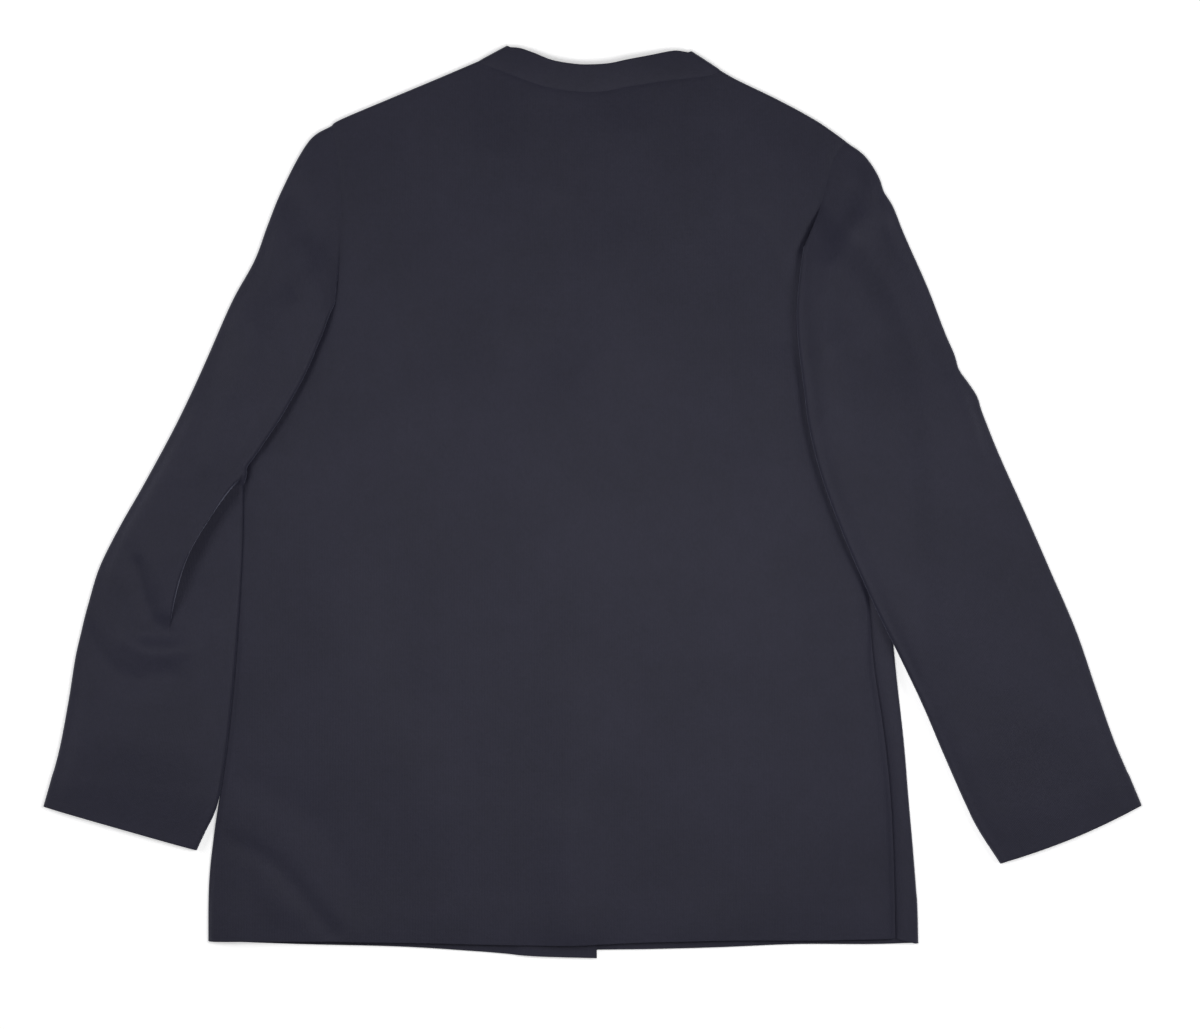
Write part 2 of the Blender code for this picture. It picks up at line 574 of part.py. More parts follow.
def make_sleeve(name, table, folds, seam_line, cuff_bulge, mirrored):
    # A flattened tube of cloth, ring by ring from its armhole to its cuff
    sheet = Sheet()
    steps = (len(table) - 1) * SECTION_STEPS
    ring = []
    for step in range(steps + 1):
        section = section_at(table, step / SECTION_STEPS)
        outer = np.array([section["outer_x"], section["outer_y"]])
        inner = np.array([section["inner_x"], section["inner_y"]])
        width = np.linalg.norm(outer - inner)
        along = (outer - inner) / width
        down = np.array([along[1], -along[0]]) * (1 if mirrored else -1)
        bulge = cuff_bulge * ease((step - steps) / CUFF_ROWS + 1)

        def plan_at(distance):
            place = inner + along * distance
            if step < SEAM_ROWS:
                seam = seam_line.at(1 - distance / width)
                chord = mix(np.array(table[0][2:4]), np.array(table[0][0:2]), distance / width)
                place = place + (seam - chord) * (1 - step / SEAM_ROWS)
            return place + down * bulge * math.sin(math.pi * distance / width)

        def under_height(distance):
            fall = ease((distance - section["over"] - SLEEVE_CLIMB) / SLEEVE_FALL)
            past = (distance - section["crease"] - UNDER_PAST) / UNDER_ROLL
            roll = UNDER_SHARE * section["drop"] * math.exp(-past ** 2)
            return mix(THIRD_LAYER, FLOOR_LAYER, fall) + roll

        def relief(distance):
            fade = ease(distance / SLEEVE_FOLD_FADE) * ease((width - distance) / SLEEVE_FOLD_FADE)
            return fold_heights(*plan_at(distance), folds) * fade * ease(step / SEAM_ROWS)

        def top_height(distance):
            height = under_height(distance) + section["full"] + relief(distance)
            past = distance - section["crease"]
            if past > 0:
                return height + section["drop"] * math.exp(-(past / CREASE_ROLL) ** 2)
            return height - DIP_SHARE * section["drop"] * math.exp(-(past / CREASE_DIP) ** 2)

        inset = section["full"] / 2 + CLOTH / 2
        row = []
        for distance in section_places(width, inset, section["crease"]):
            x, y = plan_at(distance)
            row.append(sheet.add(x, y, top_height(distance)))
        for angle in FOLD_ANGLES[::-1]:
            row.append(fold_point(sheet, plan_at, top_height, under_height, width - inset, 1, angle))
        for distance in np.linspace(width - inset, inset, UNDER_COLUMNS + 1):
            x, y = plan_at(distance)
            row.append(sheet.add(x, y, under_height(distance)))
        for angle in FOLD_ANGLES:
            row.append(fold_point(sheet, plan_at, top_height, under_height, inset, -1, angle))
        row.append(row[0])
        ring.append(row if mirrored else row[::-1])
    for above, below in zip(ring, ring[1:]):
        sheet.join(above, below)
    return place_piece(name, *sheet.wall(CLOTH))


def fold_point(sheet, plan_at, top_height, under_height, distance, direction, angle):
    # A point on the round fold that joins a sleeve's upper layer to its lower one
    top = top_height(distance)
    under = under_height(distance)
    radius = (top - under) / 2
    turn = math.radians(angle)
    x, y = plan_at(distance + direction * radius * math.cos(turn))
    return sheet.add(x, y, (top + under) / 2 + radius * math.sin(turn))


def collar_row(seam, top, seam_height, top_height):
    # One section across the collar, from just off the neck seam to its top edge
    across = (top - seam) / np.linalg.norm(top - seam)
    start = seam + across * (SEAM_GAP + SEAM_SAG)
    return [(*mix(start, top, share), mix(seam_height, top_height, share)) for share in (0, 0.5, 1)]


def collar_fold(seam, top, direction, radius, angles):
    # Sections round one end of the flattened collar
    rows = []
    for angle in angles:
        turn = math.radians(angle)
        shift = direction * radius * math.cos(turn)
        height = COLLAR_CLOTH / 2 + radius * (1 + math.sin(turn))
        rows.append(collar_row(seam + shift, top + shift, height, height))
    return rows


def collar_tops(line, count, first_shift, last_shift):
    # The collar's top edge, moved in at its ends to leave room for the folds
    points = []
    for step in range(count + 1):
        place = step / count
        shift = first_shift * (1 - place) ** 3 + last_shift * place ** 3
        points.append(line.at(place) + shift)
    return points


def make_collar():
    half = COLLAR_CLOTH / 2
    lap_height = COLLAR_CLOTH + LAYER_GAP + half
    radius = (EDGE_LAYER - half) / 2
    out_right = collar_fold_direction(NECK_BACK[-1], COLLAR_TOP_BACK[-1], 1)
    out_left = collar_fold_direction(NECK_BACK[0], COLLAR_TOP_BACK[0], -1)
    in_right = -out_right * (radius + half)
    in_left = -out_left * (radius + half)
    still = np.zeros(2)
    back_tops = collar_tops(Line(COLLAR_TOP_BACK), NECK_COLUMNS, in_left, in_right)
    right_tops = collar_tops(Line(COLLAR_TOP_RIGHT), NECK_COLUMNS, in_right, still)
    left_tops = collar_tops(Line(COLLAR_TOP_LEFT), NECK_COLUMNS, in_left, still)
    back_seam = even_points(NECK_BACK_LINE, NECK_COLUMNS)
    right_seam = even_points(NECK_FRONT_RIGHT_LINE, NECK_COLUMNS)
    left_seam = lap_points(NECK_FRONT_LEFT_LINE, NECK_COLUMNS)

    # From the right front's edge on the floor, round the fold and across the back
    rows = []
    for seam, top in zip(right_seam[:0:-1], right_tops[:0:-1]):
        rows.append(collar_row(seam, top, half, half))
    turns = (-90, *FOLD_ANGLES, 90)
    rows += collar_fold(right_seam[0], right_tops[0], out_right, radius, turns)
    for step in range(NECK_COLUMNS - 1, 0, -1):
        height = max(back_height(*back_seam[step]), EDGE_LAYER)
        lean = COLLAR_LEAN * math.sin(math.pi * step / NECK_COLUMNS) ** 0.7
        rows.append(collar_row(back_seam[step], back_tops[step], height, height + lean))

    # Then round the other fold to the left front's edge, which lies on the right one
    rows += collar_fold(left_seam[0], left_tops[0], out_left, radius, turns[::-1])
    for step in range(1, NECK_COLUMNS + 1):
        height = lap_height if step > NECK_COLUMNS - 3 else half
        rows.append(collar_row(left_seam[step], left_tops[step], height, height))
    sheet = Sheet()
    grid = [[sheet.add(*point) for point in row] for row in rows]
    for first, second in zip(grid, grid[1:]):
        sheet.join(first, second)
    return place_piece("collar", *sheet.wall(COLLAR_CLOTH))


def main():
    for old in list(bpy.data.objects):
        bpy.data.objects.remove(old, do_unlink=True)
    make_back()
    make_front_left()
    make_front_right()
    left_seam = sleeve_seam(ARMHOLE_LEFT_LINE, -1)
    make_sleeve("sleeve_left", SLEEVE_LEFT, SLEEVE_LEFT_FOLDS, left_seam, 0.0, False)
    right_seam = sleeve_seam(ARMHOLE_RIGHT_LINE, 1)
    make_sleeve("sleeve_right", SLEEVE_RIGHT, SLEEVE_RIGHT_FOLDS, right_seam, CUFF_BULGE, True)
    make_collar()


main()
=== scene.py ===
import bpy
import math
import mathutils
import numpy as np
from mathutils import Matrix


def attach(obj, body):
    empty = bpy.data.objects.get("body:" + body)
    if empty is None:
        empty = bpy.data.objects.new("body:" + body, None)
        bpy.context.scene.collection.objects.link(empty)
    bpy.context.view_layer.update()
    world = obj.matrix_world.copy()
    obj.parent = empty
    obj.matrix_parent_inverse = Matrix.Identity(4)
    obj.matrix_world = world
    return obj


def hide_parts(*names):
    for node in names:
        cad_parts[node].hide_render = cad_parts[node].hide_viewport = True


# A double-knit jacket that lies flat on its front, seen from above with its back up.
# Sizes are in millimetres and become metres where a mesh is made.
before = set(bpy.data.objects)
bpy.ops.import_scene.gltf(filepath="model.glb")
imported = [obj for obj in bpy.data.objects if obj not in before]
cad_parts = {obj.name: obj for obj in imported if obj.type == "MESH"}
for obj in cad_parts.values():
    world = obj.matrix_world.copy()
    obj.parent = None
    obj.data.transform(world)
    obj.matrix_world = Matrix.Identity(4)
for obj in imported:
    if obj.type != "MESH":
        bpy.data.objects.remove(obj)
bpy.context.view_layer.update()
metre = 0.001                 # one millimetre in metres
perMetre = 1000               # and millimetres in a metre

cloth = {
    "wall": 1.9,              # one layer of the double knit
    "turnedWall": 2.4,        # where it is turned up at a hem
    "hemDepth": 36.0,         # how deep the turned hems are
    "hemFade": 6.0,           # over how much their thickness fades out
    "edgeRound": 0.75,        # rounding of every cut or turned edge
    "edgeSteps": 3, "edgeAngle": 60,
    "edgeLines": (0.7, 1.6, 2.8, 4.4),   # closer lines of points beside an edge
    "sideFade": 3.0,          # how fast a side edge's bends fade across a piece
    "weld": 0.02,             # points closer than this are one
    "foldAngles": (-72, -54, -36, -18, 0, 18, 36, 54, 72),    # steps round a fold
    "seamGap": -0.25,         # sewn edges press into each other a little
    "grooveDepth": 0.7,       # a seam sinks this much
    "grooveWidth": 2.0,
    "allowanceRise": 0.25,    # and the turnings under it lift the cloth beside it
    "allowancePlace": 9.0,
    "allowanceWidth": 5.5,
    "foldScale": 2.0,         # the solids' folds are lower than the cloth's
}
layers = {
    "floor": 1.0, "second": 3.1, "third": 6.0,   # middles of layers that lie on each other
    "edge": 5.0,              # of the back at shoulders, armholes and neck
    "free": 7.0,              # of the back where nothing presses on it
    "lowest": 4.0,            # of the back over the fronts
    "collarLap": 6.9,         # of the back over the lapped ends of the collar
    "fold": 4.8,              # of the upper layer of the right side's fold
}


def soft(value):
    value = np.clip(value, 0, 1)
    return value * value * (3 - 2 * value)


def between(start, end, share):
    return start + (end - start) * share


class Path:
    # a smooth line through a few places, read by a share of its length
    def __init__(self, places, steps=24):
        knots = np.array(places, float)
        knots = np.vstack([2 * knots[0] - knots[1], knots, 2 * knots[-1] - knots[-2]])
        t = (np.arange(steps) / steps)[:, None]
        spans = []
        for a, b, c, d in zip(knots, knots[1:], knots[2:], knots[3:]):
            spans.append(0.5 * (2 * b + (c - a) * t + (2 * a - 5 * b + 4 * c - d) * t ** 2
                                + (3 * b - a - 3 * c + d) * t ** 3))
        self.places = np.array(places, float)
        self.line = np.vstack([*spans, knots[-2:-1]])
        runs = np.linalg.norm(np.diff(self.line, axis=0), axis=1)
        self.length = runs.sum()
        self.share = np.concatenate([[0], np.cumsum(runs)]) / self.length

    def at(self, share):
        return np.stack([np.interp(share, self.share, column) for column in self.line.T], -1)

    def xAt(self, y):
        return np.interp(-y, -self.line[:, 1], self.line[:, 0])

    def away(self, x, y):
        # distance from the line to each of many places
        nearest = np.full(np.shape(x), 1e9)
        for a, b in zip(self.line, self.line[1:]):
            run = b - a
            size = max(run @ run, 1e-9)
            t = np.clip(((x - a[0]) * run[0] + (y - a[1]) * run[1]) / size, 0, 1)
            nearest = np.minimum(nearest, np.hypot(x - a[0] - run[0] * t, y - a[1] - run[1] * t))
        return nearest


def joined(paths, counts):
    # several lines in turn, each with its own part of the whole share
    whole = Path(paths[0].places)
    edges = np.concatenate([[0], np.cumsum(counts)]) / sum(counts)
    whole.line = np.vstack([path.line for path in paths])
    whole.share = np.concatenate([between(edges[k], edges[k + 1], path.share)
                                  for k, path in enumerate(paths)])
    return whole


def leftOf(places):
    # unit directions to the left of a row of places
    along = np.gradient(np.array(places, float), axis=0)
    along /= np.linalg.norm(along, axis=1)[:, None]
    return np.stack([-along[:, 1], along[:, 0]], 1)


def movedSideways(places, offset):
    return places + offset * leftOf(places)


def startOf(path):
    # the direction in which it starts
    run = path.line[1] - path.line[0]
    return run / np.linalg.norm(run)


def alongRows(grid):
    # how far each point is from the first one of its row
    runs = np.linalg.norm(np.diff(grid, axis=1), axis=2)
    return np.concatenate([np.zeros((len(grid), 1)), np.cumsum(runs, axis=1)], 1)


def reliefAt(x, y, folds, arcs):
    # soft ridges and troughs: from one place to another, widths at both ends, height
    total = np.zeros(np.shape(x))
    for fromX, fromY, toX, toY, fromWidth, toWidth, height in folds:
        run = np.array([toX - fromX, toY - fromY])
        place = np.clip(((x - fromX) * run[0] + (y - fromY) * run[1]) / (run @ run), 0, 1)
        width = between(fromWidth, toWidth, place)
        away = np.hypot(x - fromX - run[0] * place, y - fromY - run[1] * place) / width
        total += height * np.exp(-away ** 2)
    for height, width, *places in arcs:
        total += height * np.exp(-(Path(places, 5).away(x, y) / width) ** 2)
    return total * cloth["foldScale"]


def drift(x, y, size):
    # the slow unevenness that any laid cloth has: steps across and down, and start, of each wave
    waves = [(0.021, 0.013, 0.4), (-0.017, 0.029, 1.9), (0.046, -0.022, 3.1),
             (0.012, 0.052, 5.2), (0.071, 0.031, 0.9), (-0.048, 0.063, 2.6)]
    return size * sum(np.sin(x * a + y * b + c) for a, b, c in waves) / len(waves)


def seamDip(away, share=1.0):
    groove = -cloth["grooveDepth"] * np.exp(-(away / cloth["grooveWidth"]) ** 2)
    rise = (away - cloth["allowancePlace"]) / cloth["allowanceWidth"]
    return share * (groove + cloth["allowanceRise"] * np.exp(-rise ** 2))


def withEdges(count, length, first=True, last=True):
    # even shares, with a few more lines of points close to the ends
    near = np.array(cloth["edgeLines"]) / length
    extra = [near] * first + [1 - near] * last
    even = np.linspace(0, 1, count + 1)
    return np.unique(np.round(np.concatenate([even, *extra]), 7))


class Cloth:
    # points, faces, knit directions and hem weights of one cut piece
    def __init__(self):
        self.points, self.directions, self.turned, self.faces = [], [], [], []
        self.count = 0

    def place(self, points, directions, turned=0.0):
        size = points.shape[:-1]
        index = self.count + np.arange(size[0] * size[1]).reshape(size)
        self.points.append(points.reshape(-1, 3))
        self.directions.append(directions.reshape(-1, 2))
        self.turned.append(np.broadcast_to(turned, size).ravel())
        self.count += index.size
        return index

    def join(self, rows):
        # faces between rows of points; rows run down the page and columns to the right
        for first, second in zip(rows, rows[1:]):
            self.faces.append(np.stack([first[:-1], second[:-1], second[1:], first[1:]], -1))

    def sew(self, name, wall=None):
        points = np.concatenate(self.points)
        directions = np.concatenate(self.directions)
        turned = np.concatenate(self.turned)
        mesh = bpy.data.meshes.new(name)
        mesh.from_pydata((points * metre).tolist(), [], np.concatenate(self.faces).tolist())
        corners = np.zeros(len(mesh.loops), int)
        mesh.loops.foreach_get("vertex_index", corners)
        knit = mesh.uv_layers.new(name="knit")
        knit.data.foreach_set("uv", (directions[corners] * metre).ravel())
        piece = bpy.data.objects.new(name, mesh)
        bpy.context.scene.collection.objects.link(piece)
        bpy.ops.object.select_all(action="DESELECT")
        piece.select_set(True)
        bpy.context.view_layer.objects.active = piece
        hems = piece.vertex_groups.new(name="turned")       # weights in steps of a tenth
        for weight in np.unique(np.round(turned[turned > 0.01], 1)):
            hems.add(np.flatnonzero(np.abs(turned - weight) <= 0.05).tolist(), weight, "REPLACE")
        bpy.ops.object.mode_set(mode="EDIT")
        bpy.ops.mesh.select_all(action="SELECT")
        bpy.ops.mesh.remove_doubles(threshold=cloth["weld"] * metre)
        bpy.ops.object.mode_set(mode="OBJECT")
        thick = piece.modifiers.new("wall", "SOLIDIFY")
        thick.offset = 0
        thick.thickness = (wall or cloth["turnedWall"]) * metre
        if wall is None:
            thick.vertex_group = "turned"
            thick.thickness_vertex_group = cloth["wall"] / cloth["turnedWall"]
        rounded = piece.modifiers.new("round", "BEVEL")
        rounded.limit_method = "ANGLE"
        rounded.angle_limit = math.radians(cloth["edgeAngle"])
        rounded.width = cloth["edgeRound"] * metre
        rounded.segments = cloth["edgeSteps"]
        for modifier in list(piece.modifiers):
            bpy.ops.object.modifier_apply(modifier=modifier.name)
        bpy.ops.object.shade_smooth()
        places = np.zeros(len(piece.data.vertices) * 3)
        piece.data.vertices.foreach_get("co", places)
        places[2::3] = np.maximum(places[2::3], 0)      # what lies on the floor is flat there
        piece.data.vertices.foreach_set("co", places)
        piece.data.update()
        corners = sum(len(face.vertices) - 2 for face in piece.data.polygons)
        area = sum(face.area for face in piece.data.polygons) / 2
        print(f"{name}: {corners} triangles, {area:.4f} square metres of cloth")
        return piece


# Outline of the jacket, as short rows of places
outline = {
    "shoulderLeft": [(-209, 299), (-202, 304.5), (-164.5, 320.5), (-125, 337), (-87.5, 353)],
    "shoulderRight": [(203, 287), (179.5, 303.5), (148.5, 320.5), (115.5, 336.5), (99, 346)],
    "neckBack": [(-87.5, 351), (-72.5, 343.5), (-57, 337), (-38, 330.5), (-16.5, 327),
                 (6, 326.5), (28.5, 330.5), (57, 335), (86, 339), (99, 345)],
    "armholeLeft": [(-209, 299), (-203.5, 268.5), (-201, 240.5), (-201, 216.5),
                    (-203, 188.5), (-208.5, 160.5)],
    "footLeft": [(-208.5, 160.5), (-213, 147), (-224.5, 136.5), (-244.5, 129), (-269, 126)],
    "sideLeft": [(-269, 126), (-274, 80.5), (-278.5, 32.5), (-279.5, -35.5), (-285, -119.5),
                 (-292.5, -195.5), (-303, -267.5), (-307, -307.5), (-307.5, -352.5)],
    "armholeRight": [(203, 287), (194, 275), (188.5, 258), (183, 236.5), (175.5, 216.5), (169, 200.5)],
    "footRight": [(169, 200.5), (171, 183), (178, 165), (191.5, 151), (206, 142)],
    "seamRight": [(206, 142), (211, 64.5), (215.5, 0.5), (219.5, -63.5), (224.5, -127.5),
                  (231.5, -175.5), (235.5, -207.5), (239, -247.5), (241, -295.5), (242, -350)],
    "foldRight": [(220.5, 135), (226, 64.5), (231.5, 0.5), (237, -63.5), (242, -127.5),
                  (249, -191.5), (253, -239.5), (256.5, -279.5), (259.5, -319.5), (260.5, -354)],
    "hemBack": [(-307.5, -352.5), (-214, -352), (-130, -353.5), (-34, -355),
                (86, -351.5), (182, -351), (242, -350)],
    "hemLeft": [(-304.5, -353), (-234, -355), (-154, -357), (-90, -361), (-46, -364.5), (3.5, -366)],
    "hemRight": [(-50.5, -360.5), (6, -359.5), (47.5, -359), (102, -357.5), (163, -355),
                 (222, -355), (260.5, -355.5)],
    "neckLeft": [(-87.5, 351), (-83.5, 324.5), (-71.5, 300.5), (-48.5, 282),
                 (-20.5, 271.5), (6, 268.5), (32, 270)],
    "neckRight": [(99, 345), (95.5, 322), (84, 298), (62, 280), (34, 270.5), (6, 268.5), (-22, 270)],
    "centre": [(5.5, 330), (5, 268.5), (-10.5, 136.5), (-20, 0.5), (-23.5, -159.5), (-23.5, -366)],
    "turn": 1.6,              # radius of the back's turn at shoulders and side
    "turnAngles": (18, 36, 54, 72, 90),
    "turnFoot": 0.4,          # how high it ends above the floor
    "halfWall": 1.0,          # from the middle of a wall to its face, rounded up
}
turnInset = outline["turn"] + outline["halfWall"]
shoulderLeft = Path(movedSideways(outline["shoulderLeft"], -turnInset))
shoulderRight = Path(movedSideways(outline["shoulderRight"], turnInset))
sideLeft = Path(movedSideways(outline["sideLeft"], turnInset))
armholeLeft = Path([shoulderLeft.at(0.0), *outline["armholeLeft"][1:]])
armholeRight = Path([shoulderRight.at(0.0), *outline["armholeRight"][1:]])
footLeft = Path([*outline["footLeft"][:-1], sideLeft.at(0.0)])
footRight = Path(outline["footRight"])
seamRight = Path(outline["seamRight"])
neckBack = Path([shoulderLeft.at(1.0), *outline["neckBack"][1:-1], shoulderRight.at(1.0)])
neckLeft = Path([shoulderLeft.at(1.0), *outline["neckLeft"][1:]])
neckRight = Path([shoulderRight.at(1.0), *outline["neckRight"][1:]])
centre = Path(outline["centre"])
columnParts, rowParts = (6, 10, 6), (7, 4, 12)    # shares of shoulder and neck, armhole and side

# Sections across each sleeve from armhole to cuff: both folds in plan, how far the body
# reaches under it, the height between its layers, and the place and step of the elbow crease
sectionColumns = ("outerX", "outerY", "innerX", "innerY", "over", "full", "crease", "drop")
straightColumns = ("over", "full", "drop")
sleeveLeft = [
    (-209, 299, -208.5, 160.5, 0, 4.0, 14, 0), (-227, 287, -210, 155.5, 1, 4.2, 14, 0),
    (-247.5, 250, -214, 145, 4, 4.5, 14, 0), (-259.5, 220.5, -218, 133, 10, 4.7, 14, 0),
    (-270, 192.5, -223, 121, 19, 4.8, 14, 0), (-287.5, 160.5, -232.5, 96.5, 28, 4.8, 14, 0),
    (-309, 112.5, -247, 68.5, 26, 4.8, 0, 0), (-331, 64.5, -264.5, 42, 13, 4.8, -8, 0),
    (-356.5, 16.5, -279.3, 19.5, -12, 4.8, 4, 0.8), (-377, -19.5, -279.6, -3.5, -90, 4.6, 23.5, 2.8),
    (-394, -53, -280, -31.5, -90, 4.6, 43, 3.4), (-403.5, -83.5, -281.5, -63.5, -90, 4.6, 53, 1.7),
    (-412.5, -119.5, -284.5, -103.5, -90, 4.8, 56, 0), (-419, -159.5, -287.9, -147.5, -90, 4.9, 52, 0),
    (-426, -197, -293.1, -195.5, -90, 5.0, 46, 0), (-433, -223.5, -302.6, -246, -90, 5.0, 42, 0),
    (-439, -244.5, -316.5, -279.5, -90, 4.8, 42, 0),
]
sleeveRight = [
    (203, 287, 169, 200.5, 0, 4.0, 14, 0), (220.5, 272.5, 167, 188.5, 6, 4.2, 14, 0),
    (238, 240.5, 164.5, 170, 18, 4.5, 14, 0), (251.5, 208.5, 163, 148.5, 33, 4.7, 14, 0),
    (269, 168.5, 164.5, 122, 47, 4.8, 14, 0), (284.5, 128.5, 168.5, 90, 55, 4.8, 14, 0),
    (304.5, 87, 173, 56.5, 56, 4.8, 14, 0), (323.5, 40.5, 183, 18, 50, 4.8, 14, 0),
    (345, -7.5, 201, -30, 36, 4.8, 14, 0), (366, -55.5, 223.5, -81, 17, 4.8, 14, 0),
    (387, -104.5, 244.5, -123.5, -2, 4.9, 14, 0), (403, -151.5, 263.5, -163.5, -16, 5.0, 14, 0),
    (417, -191.5, 282, -206, -33, 5.0, 14, 0), (430, -222, 304.5, -255.5, -60, 5.0, 14, 0),
    (439, -243.5, 326, -290, -90, 4.8, 14, 0),
]
# Where the sleeves' inner folds end the part of the back that shows
coverLeft = Path([*outline["armholeLeft"], *[row[2:4] for row in sleeveLeft[1:9]],
                  *outline["sideLeft"][4:]])
coverRight = Path([*outline["armholeRight"], *[row[2:4] for row in sleeveRight[1:10]],
                   *outline["seamRight"][4:]])

# The back: one piece, the largest form in view
back = {
    "columns": 176, "rows": 207, "width": 540, "length": 700,
    "rise": 55.0,             # how slowly it rises from its edges
    "coverMargin": 14.0,      # it stays low this far past the sleeve that presses on it
    # and most of it is up soon, part of that steeply
    "nearMargin": 0.3, "nearRise": 17.0, "nearShare": 0.85, "steepRise": 5.5, "steepShare": 0.6,
    "armholeFall": 25.0,
    # its left edge spreads out under the sleeve that comes down beside it, and so does its
    # edge at the foot of the right armhole
    "slack": 9.0, "slackPlace": 28.0, "slackWidth": 15.0, "footSlack": 5.0,
    "lap": 27.0, "lapSpread": 26.0, "lapFall": 45.0,
    "collarLapLow": 225.0, "collarLapHigh": 300.0,
    "hemPuff": 0.35,          # the turned hem is this much fuller
    "drift": 0.7,
    "folds": [
        (-74, 272, -70, 150, 22, 24, 1.1), (25, 290, 20, 120, 26, 26, 1.2),
        (-130, 290, -120, 120, 30, 30, -1.0), (-30, 260, -28, 120, 18, 22, -0.5),
        (110, 290, 118, 60, 30, 30, -1.0), (-20, 60, -20, -40, 60, 60, 1.9),
        (-270, -260, -190, -345, 28, 28, 0.7), (-14, -160, -10, -340, 26, 26, 1.4),
        (150, -60, 175, -300, 36, 36, 1.4), (-190, -40, -205, -200, 40, 40, 1.2),
        (22, 200, 30, 145, 22, 26, 0.6), (128, 206, 152, 140, 20, 26, -1.5),
        (-160, -60, -150, -150, 26, 20, -1.0), (60, -100, 74, -340, 16, 22, 0.7),
        (-20, -262, -18, -345, 18, 22, 1.0), (-140, -210, -130, -240, 26, 30, 1.0),
        (-256, -312, -246, -326, 14, 14, 0.7), (-72, 120, -60, 20, 24, 30, 0.8),
    ],
    # arcs: height, width and places
    "arcs": [
        (-0.9, 8.0, (-286, -273), (-264, -284), (-248, -297), (-231, -317), (-208, -344)),
        (-0.5, 14.0, (-276, -226), (-240, -244), (-213, -269), (-190, -320)),
    ],
}


def backHeight(x, y):
    # middle of the back's wall above the floor
    free = layers["free"] + reliefAt(x, y, back["folds"], back["arcs"]) + drift(x, y, back["drift"])

    def sideLayer(armhole):
        past = soft((armhole[-1][1] - y) / back["armholeFall"] + 1)
        return between(layers["edge"], layers["second"], past)

    def pressed(past):
        near = soft((past - back["nearMargin"]) / back["nearRise"])
        steep = soft((past - back["nearMargin"]) / back["steepRise"])
        near = between(near, steep, back["steepShare"])
        far = soft((past - back["coverMargin"]) / back["rise"])
        return 1 - between(far, near, back["nearShare"])

    left, right = pressed(x - coverLeft.xAt(y)), pressed(coverRight.xAt(y) - x)
    height = free + (sideLayer(outline["armholeLeft"]) - free) * left
    height = height + (sideLayer(outline["armholeRight"]) - free) * right
    shoulder = np.minimum(shoulderLeft.away(x, y), shoulderRight.away(x, y))
    height = between(layers["edge"], height, soft(shoulder / back["rise"]))
    onLap = soft((y - back["collarLapLow"]) / back["armholeFall"])
    top = between(layers["third"], layers["collarLap"], onLap)
    top = between(top, layers["edge"], soft((y - back["collarLapHigh"]) / back["armholeFall"]))
    beside = np.abs(x - centre.xAt(y)) - back["lap"] - back["lapSpread"]
    return np.maximum(height, between(top, layers["lowest"], soft(beside / back["lapFall"])))


def fillEdges(top, bottom, left, right, across, down, leftFade=cloth["sideFade"],
              rightFade=cloth["sideFade"]):
    # places inside four edges
    s, t = across[None, :, None], down[:, None, None]
    ruled = (1 - t) * top.at(across)[None] + t * bottom.at(across)[None]
    bendLeft = (1 - s) ** leftFade * (left.at(down)[:, None] - ruled[:, :1])
    bendRight = s ** rightFade * (right.at(down)[:, None] - ruled[:, -1:])
    return ruled + bendLeft + bendRight


def raised(plan, height):
    return np.concatenate([plan, height[..., None]], -1)


def hemWeight(y, hem, x):
    # 1 in the turned hem, fading out above it
    level = np.interp(x, hem.line[:, 0], hem.line[:, 1])
    return soft((cloth["hemDepth"] - (y - level)) / cloth["hemFade"] + 1)


def turnDown(piece, inner, points, outwards, slack=0.0):
    # the back's edge goes over and down to the floor
    rows = [inner]
    radius = outline["turn"]
    for angle in (*outline["turnAngles"], None):
        turn = math.radians(90 if angle is None else angle)
        ring = points.copy()
        ring[:, :2] += outwards * radius * math.sin(turn)
        ring[:, 2] = points[:, 2] - radius * (1 - math.cos(turn))
        if angle is None:
            ring[:, :2] += outwards * slack
            ring[:, 2] = outline["turnFoot"]
        along = points[:, :2] + outwards * radius * turn
        rows.insert(0, piece.place(ring[None], along[None])[0])
    piece.join(rows)


